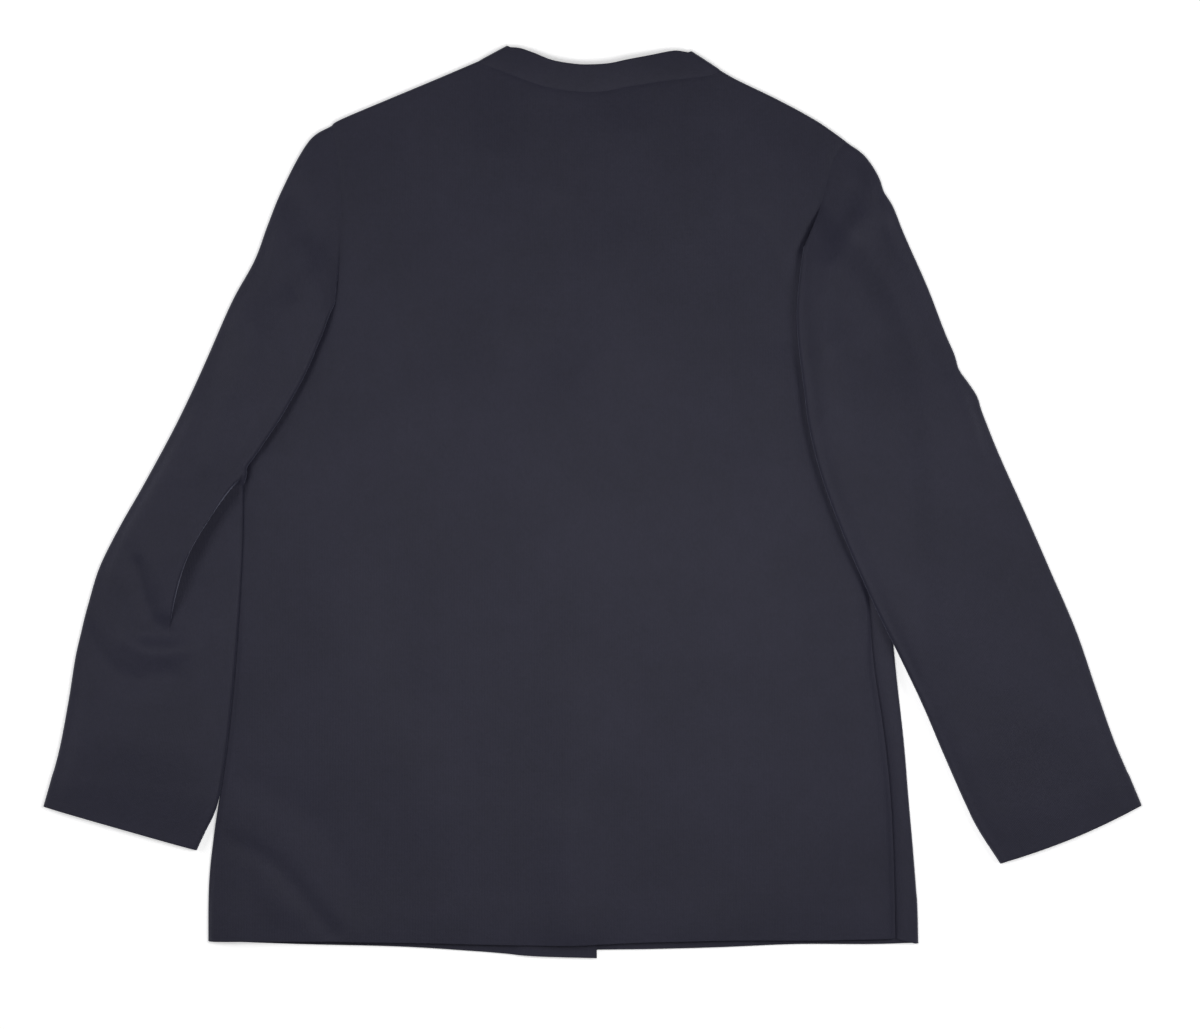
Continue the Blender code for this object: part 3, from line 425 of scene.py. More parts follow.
def makeBack():
    across = withEdges(back["columns"], back["width"])
    down = withEdges(back["rows"], back["length"])
    top = joined([shoulderLeft, neckBack, Path(shoulderRight.line[::-1], 1)], columnParts)
    left = joined([armholeLeft, footLeft, sideLeft], rowParts)
    right = joined([armholeRight, footRight, seamRight], rowParts)
    hem = Path([sideLeft.at(1.0), *outline["hemBack"][1:]])
    plan = fillEdges(top, hem, left, right, across, down)
    x, y = plan[..., 0], plan[..., 1]
    height = backHeight(x, y)
    seams = [armholeLeft, armholeRight, footRight, seamRight]
    height = height + sum(seamDip(seam.away(x, y)) for seam in seams)
    height = height + seamDip(neckBack.away(x, y), collar["seamShare"])
    weight = hemWeight(y, hem, x)
    inHem = np.clip((y - hem.line[:, 1].min()) / cloth["hemDepth"], 0, 1)
    height = height + back["hemPuff"] * np.sin(inHem * math.pi)
    piece = Cloth()
    points = raised(plan, height)
    grid = piece.place(points, plan, weight)
    piece.join(grid)
    shoulderShare = columnParts[0] / sum(columnParts)
    last = int(np.searchsorted(across, shoulderShare)) + 1
    first = int(np.searchsorted(across, 1 - shoulderShare))
    for low, high, path, side in ((0, last, armholeLeft, -1), (first, None, armholeRight, 1)):
        edge = points[0, low:high]
        outwards = leftOf(edge[:, :2])
        end, neckEnd = (0, -1) if side < 0 else (-1, 0)
        outwards[end] = -startOf(path)
        outwards[neckEnd] = foldDirection(outline["neckBack"][end], collar["topBack"][end], side)
        turnDown(piece, grid[0, low:high], edge, outwards)

    # the left side seam, and the foot of the right armhole
    armholeEnd, underarm = np.searchsorted(down, np.cumsum(rowParts[:2]) / sum(rowParts))
    edge = points[underarm:, 0][::-1]
    slack = back["slack"] * np.exp(-((edge[:, 1:2] - back["slackPlace"]) / back["slackWidth"]) ** 2)
    turnDown(piece, grid[underarm:, 0][::-1], edge, leftOf(edge[:, :2]), slack)
    edge = points[armholeEnd:underarm + 1, -1]
    turnDown(piece, grid[armholeEnd:underarm + 1, -1], edge, leftOf(edge[:, :2]), back["footSlack"])
    return piece.sew("back_cloth")


# The fronts: they lie under the back and lap at the centre
fronts = {
    "columns": 92, "rows": 184, "width": 320,
    "rightParts": (10, 6),    # shares of the right one's neck and shoulder
    "shoulderColumns": 31, "neckColumns": 52, "slopeColumns": 8, "lapColumns": 21,
    "lap": 27.0, "lapMargin": 4.0, "lapSlope": 14.0,
    "rollFree": -100.0, "rollRise": 60.0,    # where the right side's fold stands free
    # lines of points from that fold to the side seam, closer beside the seam
    "foldLines": (*np.linspace(0, 0.85, 9), 0.9, 0.94, 0.97, 1.0),
    "trench": 2.0, "trenchWidth": 5.5,       # how far the side seam sinks towards the hem
    "trenchRise": 1.4,
}


def frontEdge(side, top, bottom):
    places = [np.array(top, float)]
    for share in (0.25, 0.5, 0.75):
        y = between(top[1], bottom[1], share)
        places.append(np.array([centre.xAt(y) - side * fronts["lap"], y]))
    return Path([*places, np.array(bottom, float)])


def makeFrontLeft():
    edge = frontEdge(-1, outline["neckLeft"][-1], outline["hemLeft"][-1])
    hem = Path([sideLeft.at(1.0), *outline["hemLeft"][1:]])

    def lapPlaces(path, columns):
        # even columns, then closer ones up the lap's slope and over the lap
        head = path.length - 2 * fronts["lap"] - fronts["lapMargin"]
        foot = head - fronts["lapSlope"]
        slope = np.linspace(foot, head, fronts["slopeColumns"])[1:]
        flat = np.linspace(head, path.length, fronts["lapColumns"])[1:]
        return path.at(np.concatenate([np.linspace(0, foot, columns), slope, flat]) / path.length)

    shoulder = shoulderLeft.at(np.linspace(0, 1, fronts["shoulderColumns"])[:-1])
    foot = fronts["shoulderColumns"] + fronts["neckColumns"] - 1
    top = Path(np.vstack([shoulder, lapPlaces(neckLeft, fronts["neckColumns"])]), 1)
    bottom = Path(lapPlaces(hem, foot), 1)
    across = np.linspace(0, 1, len(top.line))
    top.share = bottom.share = across
    down = withEdges(fronts["rows"], back["length"])
    left = joined([armholeLeft, footLeft, sideLeft], rowParts)
    plan = fillEdges(top, bottom, left, edge, across, down, rightFade=1.0)
    rise = soft((np.arange(len(across)) - foot + 1) / (fronts["slopeColumns"] - 1))
    height = np.broadcast_to(between(layers["floor"], layers["second"], rise), plan.shape[:2])
    piece = Cloth()
    weight = hemWeight(plan[..., 1], hem, plan[..., 0])
    piece.join(piece.place(raised(plan, height), plan, weight))
    return piece.sew("front_left_cloth")


def rollHeight(y):
    return between(layers["second"], layers["fold"], soft((fronts["rollFree"] - y) / fronts["rollRise"]))


def makeFrontRight():
    foldPlaces = np.array(outline["foldRight"], float)
    sidePlaces = foldPlaces.copy()
    sidePlaces[:, 0] -= (rollHeight(foldPlaces[:, 1]) - layers["floor"]) / 2 + outline["halfWall"]
    side, fold = Path(sidePlaces), Path(foldPlaces)
    foot = Path([*outline["footRight"], side.at(0.0)])
    edge = frontEdge(1, outline["neckRight"][-1], outline["hemRight"][0])
    hem = Path([*outline["hemRight"][:-1], side.at(1.0)])
    across = withEdges(fronts["columns"], fronts["width"], last=False)
    down = withEdges(fronts["rows"], back["length"])
    top = joined([Path(neckRight.line[::-1], 1), Path(shoulderRight.line[::-1], 1)],
                 fronts["rightParts"])
    right = joined([armholeRight, foot, side], rowParts)
    plan = fillEdges(top, hem, edge, right, across, down, leftFade=1.0)
    height = np.full(plan.shape[:2], layers["floor"])
    piece = Cloth()
    grid = piece.place(raised(plan, height), plan, hemWeight(plan[..., 1], hem, plan[..., 0]))
    piece.join(grid)

    # below the underarm it folds back over itself, as far as the side seam
    underarm = int(np.searchsorted(down, sum(rowParts[:2]) / sum(rowParts)))
    share = (down[underarm:] - down[underarm]) / (1 - down[underarm])
    start = plan[underarm:, -1]
    radius = fold.at(share)[:, 0] - start[:, 0] - outline["halfWall"]
    seam = seamRight.at(share)
    end = seam + np.array([cloth["seamGap"], 0.0])
    endHeight = backHeight(seam[:, 0], seam[:, 1])
    strips = [np.column_stack([start, np.full(len(start), layers["floor"])])]
    for angle in cloth["foldAngles"]:
        turn = math.radians(angle)
        strips.append(np.column_stack([start[:, 0] + radius * math.cos(turn), start[:, 1],
                                       layers["floor"] + radius + radius * math.sin(turn)]))
    sink = fronts["trench"] * soft(share * fronts["trenchRise"])
    width = np.linalg.norm(end - start, axis=1)
    for place in fronts["foldLines"]:
        level = between(layers["floor"] + 2 * radius, endHeight, soft(place))
        away = (1 - place) * width
        level = level + seamDip(away) - sink * np.exp(-(away / fronts["trenchWidth"]) ** 2)
        strips.append(np.column_stack([between(start, end, place), level]))
    strips = np.stack(strips, 1)
    along = alongRows(strips)
    knit = np.stack([start[:, :1] + along, np.broadcast_to(start[:, 1:], along.shape)], -1)
    weight = hemWeight(strips[:, 1:, 1], hem, strips[:, 1:, 0])
    folded = piece.place(strips[:, 1:], knit[:, 1:], weight)
    piece.join(np.concatenate([grid[underarm:, -1:], folded], 1))
    return piece.sew("front_right_cloth")


# The sleeves: flattened tubes that lie beside and partly over the body
sleeves = {
    "stepsEach": 12,          # rings between two sections
    "creaseHalf": 0.9,        # half the width of the elbow's step
    "creaseRoll": 30.0, "creaseDip": 13.0, "dipShare": 0.5,
    "dropScale": 1.2,         # the solid's step is lower
    "overhang": 0.55,         # how far the step's lip hangs over its foot, against its height
    "lipWidth": 5.0,
    "underShare": 0.55, "underPast": 18.0, "underRoll": 26.0,
    "climb": 16.0, "fall": 26.0,
    # columns of points: inside the elbow's step, at it, outside it and underneath
    "innerColumns": 9, "stepColumns": 15, "stepReach": 4, "stepMargin": 5,
    "outerColumns": 36, "underColumns": 44,
    "puff": 3.0, "puffWidth": 8.5,           # the tube is fuller away from its edges
    "crown": 2.0, "crownWidth": 30.0,
    "edgeFade": 12.0,         # the folds' relief fades towards the tube's edges
    "seamRows": 1.5,          # rows over which it follows the armhole seam
    "rowLength": 14,          # roughly, beside that seam
    "cuffRows": 1.5, "cuffFlat": 0.6,        # its relief is this much lower at the cuff
    "cuffBulge": 3.0,         # how far the right cuff's edge is bent
    "seamRise": 2.4,          # rows over which the left one rises from its armhole seam
    "cover": 2.6,             # it lies over the body's edge at least this far
    "coverUpper": 6, "coverTo": 8.35, "coverFade": 0.35,    # as far as these rows
    "touch": 0.5,             # the forearm leans this far into the body's side
    "touchFrom": 7.45, "touchTo": 15.5,      # from one row to another
    # below the elbow the upper arm's layer comes down more slowly than the forearm's
    "slowSteps": (7.0, 8.0, 9.5, 11.5), "slowOver": (13.0, 0.0, -14.0, -60.0),
    "drift": 0.4,
}
sleeveLeftFolds = [
    (-240, 240, -228, 216, 14, 15, -1.4), (-285, 150, -268, 118, 18, 20, 0.6),
    (-306, 102, -284, 84, 18, 20, -0.6), (-328, 66, -346, 8, 20, 20, 1.2),
    (-368, -40, -352, -80, 9, 8, -0.9), (-356, -106, -333, -108, 7, 7, -1.2),
    (-388, -190, -330, -200, 22, 22, 0.9), (-322, -70, -300, -160, 12, 14, -0.7),
    (-392, -60, -404, -84, 14, 14, 0.8),
]
sleeveLeftArcs = [
    (-1.1, 20.0, (-398, -72), (-375, -90), (-348, -102)),
    (1.0, 20.0, (-384, -12), (-362, -34)),
    (-1.3, 7.0, (-363, -52), (-359, -76), (-352, -93), (-343, -99)),
    (1.0, 7.0, (-372, -112), (-350, -121), (-322, -118)),
    (-1.6, 11.0, (-402, -108), (-392, -124), (-378, -138), (-360, -143), (-338, -140)),
]
sleeveRightFolds = [
    (224, 262, 214, 218, 7, 11, 0.9), (238, 214, 240, 122, 12, 32, -2.1),
    (205, 244, 192, 216, 14, 16, -0.8), (188, 185, 192, 75, 10, 13, 0.9),
    (290, 98, 300, 58, 11, 13, 0.9), (298, 56, 274, -96, 26, 28, 1.1),
    (196, 120, 214, 20, 16, 20, 0.8), (362, -205, 372, -228, 26, 28, -0.9),
    (330, -70, 352, -150, 26, 28, -0.9), (276, -120, 312, -200, 18, 20, 0.6),
]
sleeveRightArcs = [
    (0.8, 9.0, (212, 222), (196, 196), (184, 160), (184, 120)),
]
# Small notches of its outer fold: place down the page, width and depth
sleeveRightNotches = [(247, 7, -1.8), (104, 9, -3.0), (82, 7, 1.4)]


def sectionsOf(table, steps):
    # the table's rows with smooth ones between them
    rows = np.array(table, float)
    places = np.linspace(0, len(rows) - 1, (len(rows) - 1) * steps + 1)
    smooth = Path(rows, steps).line
    straight = np.stack([np.interp(places, np.arange(len(rows)), column) for column in rows.T], 1)
    return {name: (straight if name in straightColumns else smooth)[:, k]
            for k, name in enumerate(sectionColumns)}


def makeSleeve(name, table, folds, arcs, armhole, side, cuffBulge=0.0):
    steps = sleeves["stepsEach"]
    section = sectionsOf(table, steps)
    rings = len(section["full"])
    outer = np.stack([section["outerX"], section["outerY"]], 1)
    inner = np.stack([section["innerX"], section["innerY"]], 1)
    tableStep = np.arange(rings) / steps
    rise = np.ones(rings)
    slowOver = section["over"]
    if side < 0:
        # the bent forearm lies against the body's side
        beside = soft(2 * (tableStep - sleeves["touchFrom"])) * soft(sleeves["touchTo"] - tableStep)
        above = sleeves["cover"] * soft((sleeves["coverTo"] - tableStep) / sleeves["coverFade"])
        body = Path(outline["sideLeft"]).xAt(inner[:, 1]) + sleeves["touch"] + above
        inner[:, 0] += (body - inner[:, 0]) * beside
        upper = soft(2 * tableStep) * soft((sleeves["coverUpper"] - tableStep) / 2)
        inner[:, 0] += sleeves["cover"] * upper
        rise = soft(tableStep / sleeves["seamRise"])
        slowOver = np.maximum(slowOver, np.interp(tableStep, sleeves["slowSteps"], sleeves["slowOver"]))
    else:
        for level, size, depth in sleeveRightNotches:
            outer[:, 0] += depth * np.exp(-((outer[:, 1] - level) / size) ** 2)
    width = np.linalg.norm(outer - inner, axis=1)[:, None]
    along = (outer - inner) / width
    downwards = np.stack([along[:, 1], -along[:, 0]], 1) * side
    full = section["full"][:, None]
    inset = full / 2 + outline["halfWall"]
    crease, over = section["crease"][:, None], section["over"][:, None]
    drop = section["drop"][:, None] * sleeves["dropScale"]
    moved = movedSideways(armhole.places, side * cloth["seamGap"])
    seam = Path([moved[0] - startOf(armhole) * turnInset, *moved])
    seamPull = np.clip(1 - tableStep / sleeves["seamRows"], 0, 1)
    chord = np.array(table[0][2:4]), np.array(table[0][0:2])
    bulge = cuffBulge * soft((tableStep - len(table) + 1) / 2 + 1)

    def planAt(distance):
        share = distance / width
        place = inner[:, None] + along[:, None] * distance[..., None]
        shift = seam.at(1 - share) - between(chord[0], chord[1], share[..., None])
        place = place + shift * seamPull[:, None, None]
        bent = bulge[:, None] * np.sin(np.pi * np.clip(share, 0, 1))
        return place + downwards[:, None] * bent[..., None]

    def bodyUnder(distance, reach):
        # middle of the sleeve's lower layer, on the body and past it on the floor
        fall = soft((distance - reach - sleeves["climb"]) / sleeves["fall"])
        return between(layers["third"], layers["floor"], 1 - (1 - fall) * rise[:, None])

    def underHeight(distance):
        past = (distance - crease - sleeves["underPast"]) / sleeves["underRoll"]
        roll = sleeves["underShare"] * section["drop"][:, None] * np.exp(-past ** 2)
        return bodyUnder(distance, over) + roll

    def topHeight(distance):
        past = distance - crease
        half = sleeves["creaseHalf"]
        up = soft((past + half) / (2 * half))
        roll = np.exp(-(np.maximum(past - half, 0) / sleeves["creaseRoll"]) ** 2)
        dip = np.exp(-(np.minimum(past + half, 0) / sleeves["creaseDip"]) ** 2)
        step = drop * (up * roll - sleeves["dipShare"] * dip * (1 - up))
        step = step + up * (bodyUnder(distance, slowOver[:, None]) - bodyUnder(distance, over))
        plan = planAt(distance)
        x, y = plan[..., 0], plan[..., 1]
        inside = soft(distance / sleeves["edgeFade"]) * soft((width - distance) / sleeves["edgeFade"])
        inside = inside * soft(tableStep[:, None] / sleeves["seamRows"])
        relief = (reliefAt(x, y, folds, arcs) + drift(x, y, sleeves["drift"])) * inside
        edge = np.maximum(np.minimum(distance, width - distance) - inset, 0)
        puff = sleeves["puff"] * (1 - np.exp(-(edge / sleeves["puffWidth"]) ** 2))
        puff = puff + sleeves["crown"] * (1 - np.exp(-(edge / sleeves["crownWidth"]) ** 2))
        puff = puff * soft(tableStep[:, None] / 2) * (1 - (1 - up) * soft(drop / 2))
        cuff = soft((tableStep - len(table) + 1) / sleeves["cuffRows"] + 1)[:, None]
        under = underHeight(distance)
        shape = under + full + step + (relief + puff) * (1 - sleeves["cuffFlat"] * cuff)
        return np.maximum(shape, under + cloth["turnedWall"])

    def ringPoints(distance, height):
        return raised(planAt(distance), height)

    def lipped(distance):
        # the upper arm's edge rolls over and hides the foot of the elbow's step
        past = distance - crease
        sway = np.tanh(past / sleeves["creaseHalf"]) * np.exp(-(past / sleeves["lipWidth"]) ** 2)
        return distance - sleeves["overhang"] * drop * sway

    def foldPoints(distance, direction, angles):
        top, under = topHeight(distance), underHeight(distance)
        radius = (top - under) / 2
        made = []
        for angle in angles:
            turn = math.radians(angle)
            place = planAt(distance + direction * radius * math.cos(turn))
            made.append(raised(place, (top + under) / 2 + radius * math.sin(turn)))
        return np.concatenate(made, 1)

    def evenly(columns):
        return np.linspace(0, 1, sleeves[columns])[None]

    reach, margin = sleeves["stepReach"], sleeves["stepMargin"]
    close = np.linspace(-reach, reach, sleeves["stepColumns"])
    middle = np.minimum(np.maximum(crease, inset + margin), width - inset - margin)
    distances = np.concatenate([
        between(inset, middle - reach, evenly("innerColumns")[:, :-1]),
        middle + close[None],
        between(middle + reach, width - inset, evenly("outerColumns")[:, 1:]),
    ], 1)
    underneath = between(width - inset, inset, evenly("underColumns"))
    angles = cloth["foldAngles"]
    tube = np.concatenate([
        ringPoints(lipped(distances), topHeight(distances)),
        foldPoints(width - inset, 1, angles[::-1]),
        ringPoints(underneath, underHeight(underneath)),
        foldPoints(inset, -1, angles),
    ], 1)
    fromSeam = tableStep * sleeves["rowLength"]
    sag = cloth["grooveDepth"] * np.exp(-(fromSeam / cloth["grooveWidth"]) ** 2)[:, None]
    tube[..., 2] -= sag * (tube[..., 2] > layers["second"])
    tube = np.concatenate([tube, tube[:, :1]], 1)
    u = alongRows(tube)
    lengths = np.linalg.norm(np.diff(tube, axis=0), axis=2).mean(1)
    v = np.concatenate([[0], np.cumsum(lengths)])[:, None]
    knit = np.stack([u, np.broadcast_to(-v, u.shape)], -1)
    weight = soft((cloth["hemDepth"] - (v[-1] - v)) / cloth["hemFade"] + 1)
    if side < 0:
        tube, knit = tube[:, ::-1], knit[:, ::-1]
    piece = Cloth()
    piece.join(piece.place(tube, knit, np.broadcast_to(weight, u.shape)))
    return piece.sew(name)


# The collar: a stand band of two pressed layers, folded flat at both ends
collar = {
    "wall": 2.4, "layerGap": 0.6,
    "lean": 2.5, "leanPower": 0.7,           # its top edge stands this much above its seam
    "bulge": 0.4,
    "columns": (0, 0.03, 0.07, 0.12, *np.linspace(0.2, 1, 10)),
    "seamShare": 0.4,         # its seam is pressed flatter than the others
    "tuck": 2.8,              # and goes this much further in at the folded tips
    "tipRound": 0.045, "tipReach": 8.0,      # rounding of the folded tips in plan
    "topBack": [(-64.5, 366), (-47.5, 359), (-32.5, 352.5), (-14, 349), (-0.5, 348.5),
                (14, 349.5), (27.5, 352.5), (46, 356.5), (64.5, 361), (75.5, 362)],
    "topLeft": [(-64.5, 366), (-60.5, 333), (-49, 315.5), (-33, 302.5), (-12.5, 296.5),
                (6, 295.5), (32, 297)],
    "topRight": [(75.5, 362), (71.5, 333), (60.5, 315.5), (44.5, 302.5), (24, 296.5),
                 (6, 295.5), (-22, 297)],
    "foldAngles": (-90, -70, -50, -30, -10, 10, 30, 50, 70, 90),
    "parts": 60,
}


def foldDirection(seamEnd, topEnd, side):
    run = (np.array(topEnd) - seamEnd) / np.linalg.norm(np.array(topEnd) - seamEnd)
    return -side * np.array([-run[1], run[0]])


def makeCollar():
    half = collar["wall"] / 2
    lapHeight = collar["wall"] + collar["layerGap"] + half
    radius = (layers["edge"] - half) / 2
    outRight = foldDirection(outline["neckBack"][-1], collar["topBack"][-1], 1)
    outLeft = foldDirection(outline["neckBack"][0], collar["topBack"][0], -1)
    inRight, inLeft = -outRight * (radius + half), -outLeft * (radius + half)
    shares = np.linspace(0, 1, collar["parts"] + 1)
    columns = np.array(collar["columns"])

    def tops(path, first, last):
        return path.at(shares) + first * ((1 - shares) ** 3)[:, None] + last * (shares ** 3)[:, None]

    def section(seam, top, seamHeight, topHeight, fromTip):
        # one row of points from just off the neck seam to the top edge
        run = top - seam
        size = np.linalg.norm(run)
        across = run / size
        cut = collar["tipRound"] * max(collar["tipReach"] - fromTip, 0.0) ** 2
        tuck = collar["tuck"] * math.exp(-(fromTip / collar["tipReach"]) ** 2)
        start = seam + across * (cloth["seamGap"] - tuck)
        plan = start + columns[:, None] * (top - across * cut - start)
        level = between(seamHeight, topHeight, columns) + collar["bulge"] * np.sin(np.pi * columns)
        share = collar["seamShare"] * min(1.0, max(0.0, seamHeight - layers["floor"]))
        level = level + seamDip(columns * size, share)
        return np.column_stack([plan, level])

    backTops = tops(Path(collar["topBack"]), inLeft, inRight)
    rightTops = tops(Path(collar["topRight"]), inRight, np.zeros(2))
    leftTops = tops(Path(collar["topLeft"]), inLeft, np.zeros(2))
    backSeam, rightSeam = neckBack.at(shares), neckRight.at(shares)
    head = 2 * fronts["lap"] + fronts["lapMargin"]
    leftSeam = neckLeft.at(shares)

    def alongTop(points, k):
        return float(np.linalg.norm(np.diff(points[:k + 1], axis=0), axis=1).sum())

    rows = []

    def turnOver(seam, top, outwards, angles):
        # the band goes over from the back to a front
        for angle in angles:
            turn = math.radians(angle)
            shift = outwards * radius * math.cos(turn)
            level = half + radius * (1 + math.sin(turn))
            rows.append(section(seam + shift, top + shift, level, level, -radius * math.cos(turn)))

    for k in range(collar["parts"], 0, -1):
        rows.append(section(rightSeam[k], rightTops[k], half, half, alongTop(rightTops, k)))
    turnOver(rightSeam[0], rightTops[0], outRight, collar["foldAngles"])
    for k in range(collar["parts"] - 1, 0, -1):
        level = max(float(backHeight(backSeam[k, 0], backSeam[k, 1])), layers["edge"])
        lean = collar["lean"] * math.sin(math.pi * k / collar["parts"]) ** collar["leanPower"]
        fromTip = min(alongTop(backTops, k), alongTop(backTops[::-1], collar["parts"] - k))
        rows.append(section(backSeam[k], backTops[k], level, level + lean, fromTip))
    turnOver(leftSeam[0], leftTops[0], outLeft, collar["foldAngles"][::-1])
    for k in range(1, collar["parts"] + 1):
        left = neckLeft.length * (1 - shares[k])
        onTop = soft((head + fronts["lapSlope"] - left) / fronts["lapSlope"])
        level = between(half, lapHeight, float(onTop))
        rows.append(section(leftSeam[k], leftTops[k], level, level, alongTop(leftTops, k)))
    rows = np.array(rows)
    runs = np.linalg.norm(np.diff(rows[:, 0], axis=0), axis=1)
    v = np.concatenate([[0], np.cumsum(runs)])[:, None]
    u = alongRows(rows)
    piece = Cloth()
    piece.join(piece.place(rows, np.stack([np.broadcast_to(v, u.shape), u], -1)))
    return piece.sew("collar_cloth", collar["wall"])


class Wire:
    # one output of a shader node, usable in sums
    def __init__(self, tree, socket=None):
        self.tree, self.socket = tree, socket

    def add(self, kind, settings, inputs, output=0):
        node = self.tree.nodes.new(kind)
        for name, value in settings.items():
            setattr(node, name, value)
        for name, value in inputs.items():
            if isinstance(value, Wire):
                self.tree.links.new(value.socket, node.inputs[name])
            else:
                node.inputs[name].default_value = value
        return Wire(self.tree, node.outputs[output])

    def math(self, operation, first, second=0.0):
        return self.add("ShaderNodeMath", {"operation": operation}, {0: first, 1: second})

    def __add__(self, other):
        return self.math("ADD", self, other)

    def __sub__(self, other):
        return self.math("SUBTRACT", self, other)

    def __rsub__(self, other):
        return self.math("SUBTRACT", other, self)

    def __mul__(self, other):
        return self.math("MULTIPLY", self, other)

    __radd__, __rmul__ = __add__, __mul__

    def mapped(self, low, high, toLow=0.0, toHigh=1.0):
        return self.add("ShaderNodeMapRange", {"clamp": True},
                        {"Value": self, "From Min": low, "From Max": high,
                         "To Min": toLow, "To Max": toHigh})


knit = {
    "dark": (0.0100, 0.0099, 0.0214, 1), "light": (0.0174, 0.0168, 0.0338, 1),
    "fleck": (0.20, 0.20, 0.23, 1),
    "wale": 1.25, "course": 1.0,             # size of one stitch
    "wander": 0.35,           # how uneven the wales are
    "slant": 1.3, "stitchShare": 0.38,       # of the loops, against the ribs
    # size, detail and roughness of the nap and of coarser unevenness, coarsest last
    "noises": ((0.7, 3, 0.5), (3.2, 3, 0.6), (14, 2, 0.5), (90, 1, 0.5)),
    # low end, high end and share of the same four in the colour, and the loops' share
    "shades": ((0.25, 0.75, 0.20), (0.3, 0.7, 0.36), (0.3, 0.7, 0.20), (0.35, 0.65, 0.26)),
    "loopShade": 0.10,
    "loopRelief": 0.55, "napRelief": 0.75, "mottleRelief": 0.9,
    "fleckSpacing": 75, "fleckSize": 0.0085,
    "skin": {"Roughness": 0.64, "Specular IOR Level": 0.30, "Sheen Weight": 0.25,
             "Sheen Roughness": 0.45, "Sheen Tint": (0.62, 0.64, 0.85, 1)},
    "bump": {"Distance": 0.00035, "Strength": 0.55},
}


def setInputs(node, values):
    for name, value in values.items():
        node.inputs[name].default_value = value


def makeKnit():
    material = bpy.data.materials.new("navy_double_knit")
    material.use_nodes = True
    tree = material.node_tree
    wires = Wire(tree)
    skin = tree.nodes["Principled BSDF"]
    place = wires.add("ShaderNodeUVMap", {"uv_map": "knit"}, {})
    parts = tree.nodes.new("ShaderNodeSeparateXYZ")
    tree.links.new(place.socket, parts.inputs[0])
    u, v = Wire(tree, parts.outputs[0]), Wire(tree, parts.outputs[1])

    noises = [wires.add("ShaderNodeTexNoise", {}, {"Vector": place, "Scale": perMetre / size,
                                                   "Detail": detail, "Roughness": roughness})
              for size, detail, roughness in knit["noises"]]
    nap, mottle = noises[:2]
    across = u * (perMetre / knit["wale"]) + mottle * knit["wander"]
    down = v * (perMetre / knit["course"])
    rib = wires.math("ABSOLUTE", wires.math("SINE", across * math.pi))
    slant = wires.math("ABSOLUTE", wires.math("FRACT", across) - 0.5)
    stitch = wires.math("SINE", (down + slant * knit["slant"]) * (2 * math.pi))
    loops = rib * (1 - knit["stitchShare"] + stitch * knit["stitchShare"])
    height = loops * knit["loopRelief"] + nap * knit["napRelief"] + mottle * knit["mottleRelief"]
    napShade, mottleShade, *coarser = [source.mapped(low, high) * share for source, (low, high, share)
                                       in zip(noises, knit["shades"])]
    shade = mottleShade + napShade
    for part in (*coarser, loops * knit["loopShade"]):
        shade = shade + part
    colour = wires.add("ShaderNodeMix", {"data_type": "RGBA"},
                       {"Factor": shade, 6: knit["dark"], 7: knit["light"]}, 2)
    specks = wires.add("ShaderNodeTexVoronoi", {"feature": "F1"},
                       {"Vector": place, "Scale": perMetre / knit["fleckSpacing"]})
    fleck = wires.math("LESS_THAN", specks, knit["fleckSize"])
    colour = wires.add("ShaderNodeMix", {"data_type": "RGBA"},
                       {"Factor": fleck, 6: colour, 7: knit["fleck"]}, 2)
    tree.links.new(colour.socket, skin.inputs["Base Color"])
    bump = wires.add("ShaderNodeBump", {}, {"Height": height, **knit["bump"]})
    tree.links.new(bump.socket, skin.inputs["Normal"])
    setInputs(skin, knit["skin"])
    return material


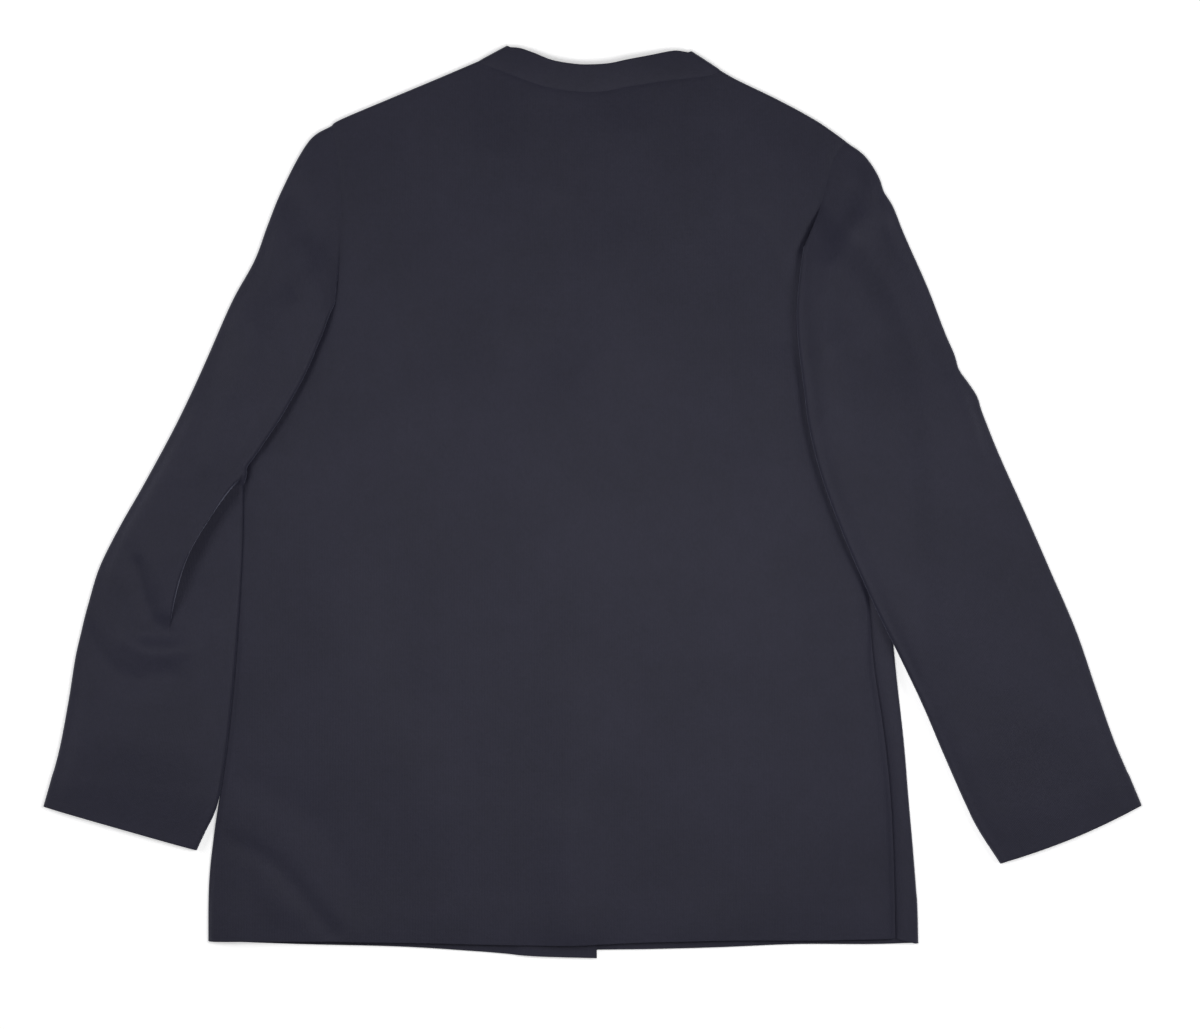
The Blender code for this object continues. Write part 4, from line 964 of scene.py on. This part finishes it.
doubleKnit = makeKnit()
made = {
    "back": makeBack(),
    "front_left": makeFrontLeft(),
    "front_right": makeFrontRight(),
    "sleeve_left": makeSleeve("sleeve_left_cloth", sleeveLeft, sleeveLeftFolds, sleeveLeftArcs,
                              armholeLeft, -1),
    "sleeve_right": makeSleeve("sleeve_right_cloth", sleeveRight, sleeveRightFolds, sleeveRightArcs,
                               armholeRight, 1, sleeves["cuffBulge"]),
    "collar": makeCollar(),
}
# Each piece gets the knit and rides on the root body, and the solid it stands for is hidden
for node, piece in made.items():
    piece.data.materials.append(doubleKnit)
    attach(piece, "root")
    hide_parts(node)
print("cloth pieces ride on the solids")

# Floor, light and camera
studio = {
    "camera": (0.006, -0.0112, 2.003), "lens": 75, "sensor": 36,
    "floorSize": 12.0, "floorPlace": (0, 0, -0.0006),
    # the paper glows, as on a light table
    "paper": {"Base Color": (0.93, 0.93, 0.93, 1), "Roughness": 0.9,
              "Emission Color": (1, 1, 1, 1), "Emission Strength": 0.40},
    "sky": 0.24,
    "lights": [               # name, place, size and power of each softbox
        ("left_softbox", (-1.10, 0.20, 0.80), 0.5, 4.4),
        ("right_softbox", (1.05, 0.05, 0.80), 0.5, 3.8),
        ("overhead_softbox", (0.05, -0.09, 0.82), 0.3, 3.2),
    ],
}
bpy.ops.object.select_all(action="DESELECT")
bpy.ops.mesh.primitive_plane_add(size=studio["floorSize"], location=studio["floorPlace"])
floor = bpy.context.active_object
floor.name = "studio_floor"
paper = bpy.data.materials.new("pale_floor")
paper.use_nodes = True
setInputs(paper.node_tree.nodes["Principled BSDF"], studio["paper"])
floor.data.materials.append(paper)

for name, place, size, power in studio["lights"]:
    bpy.ops.object.light_add(type="AREA", location=place)
    light = bpy.context.active_object
    light.name, light.data.size, light.data.energy = name, size, power
    light.rotation_euler = mathutils.Vector(place).to_track_quat("Z", "Y").to_euler()
    light.visible_camera = False
sky = bpy.data.worlds.new("studio")
sky.use_nodes = True
sky.node_tree.nodes["Background"].inputs[0].default_value = (1, 1, 1, 1)
sky.node_tree.nodes["Background"].inputs[1].default_value = studio["sky"]
bpy.context.scene.world = sky
bpy.context.scene.view_settings.view_transform = "Standard"

bpy.ops.object.camera_add(location=studio["camera"], rotation=(0, 0, 0))
camera = bpy.context.active_object
camera.data.lens = studio["lens"]
camera.data.sensor_width = studio["sensor"]
bpy.context.scene.camera = camera
print("studio ready")
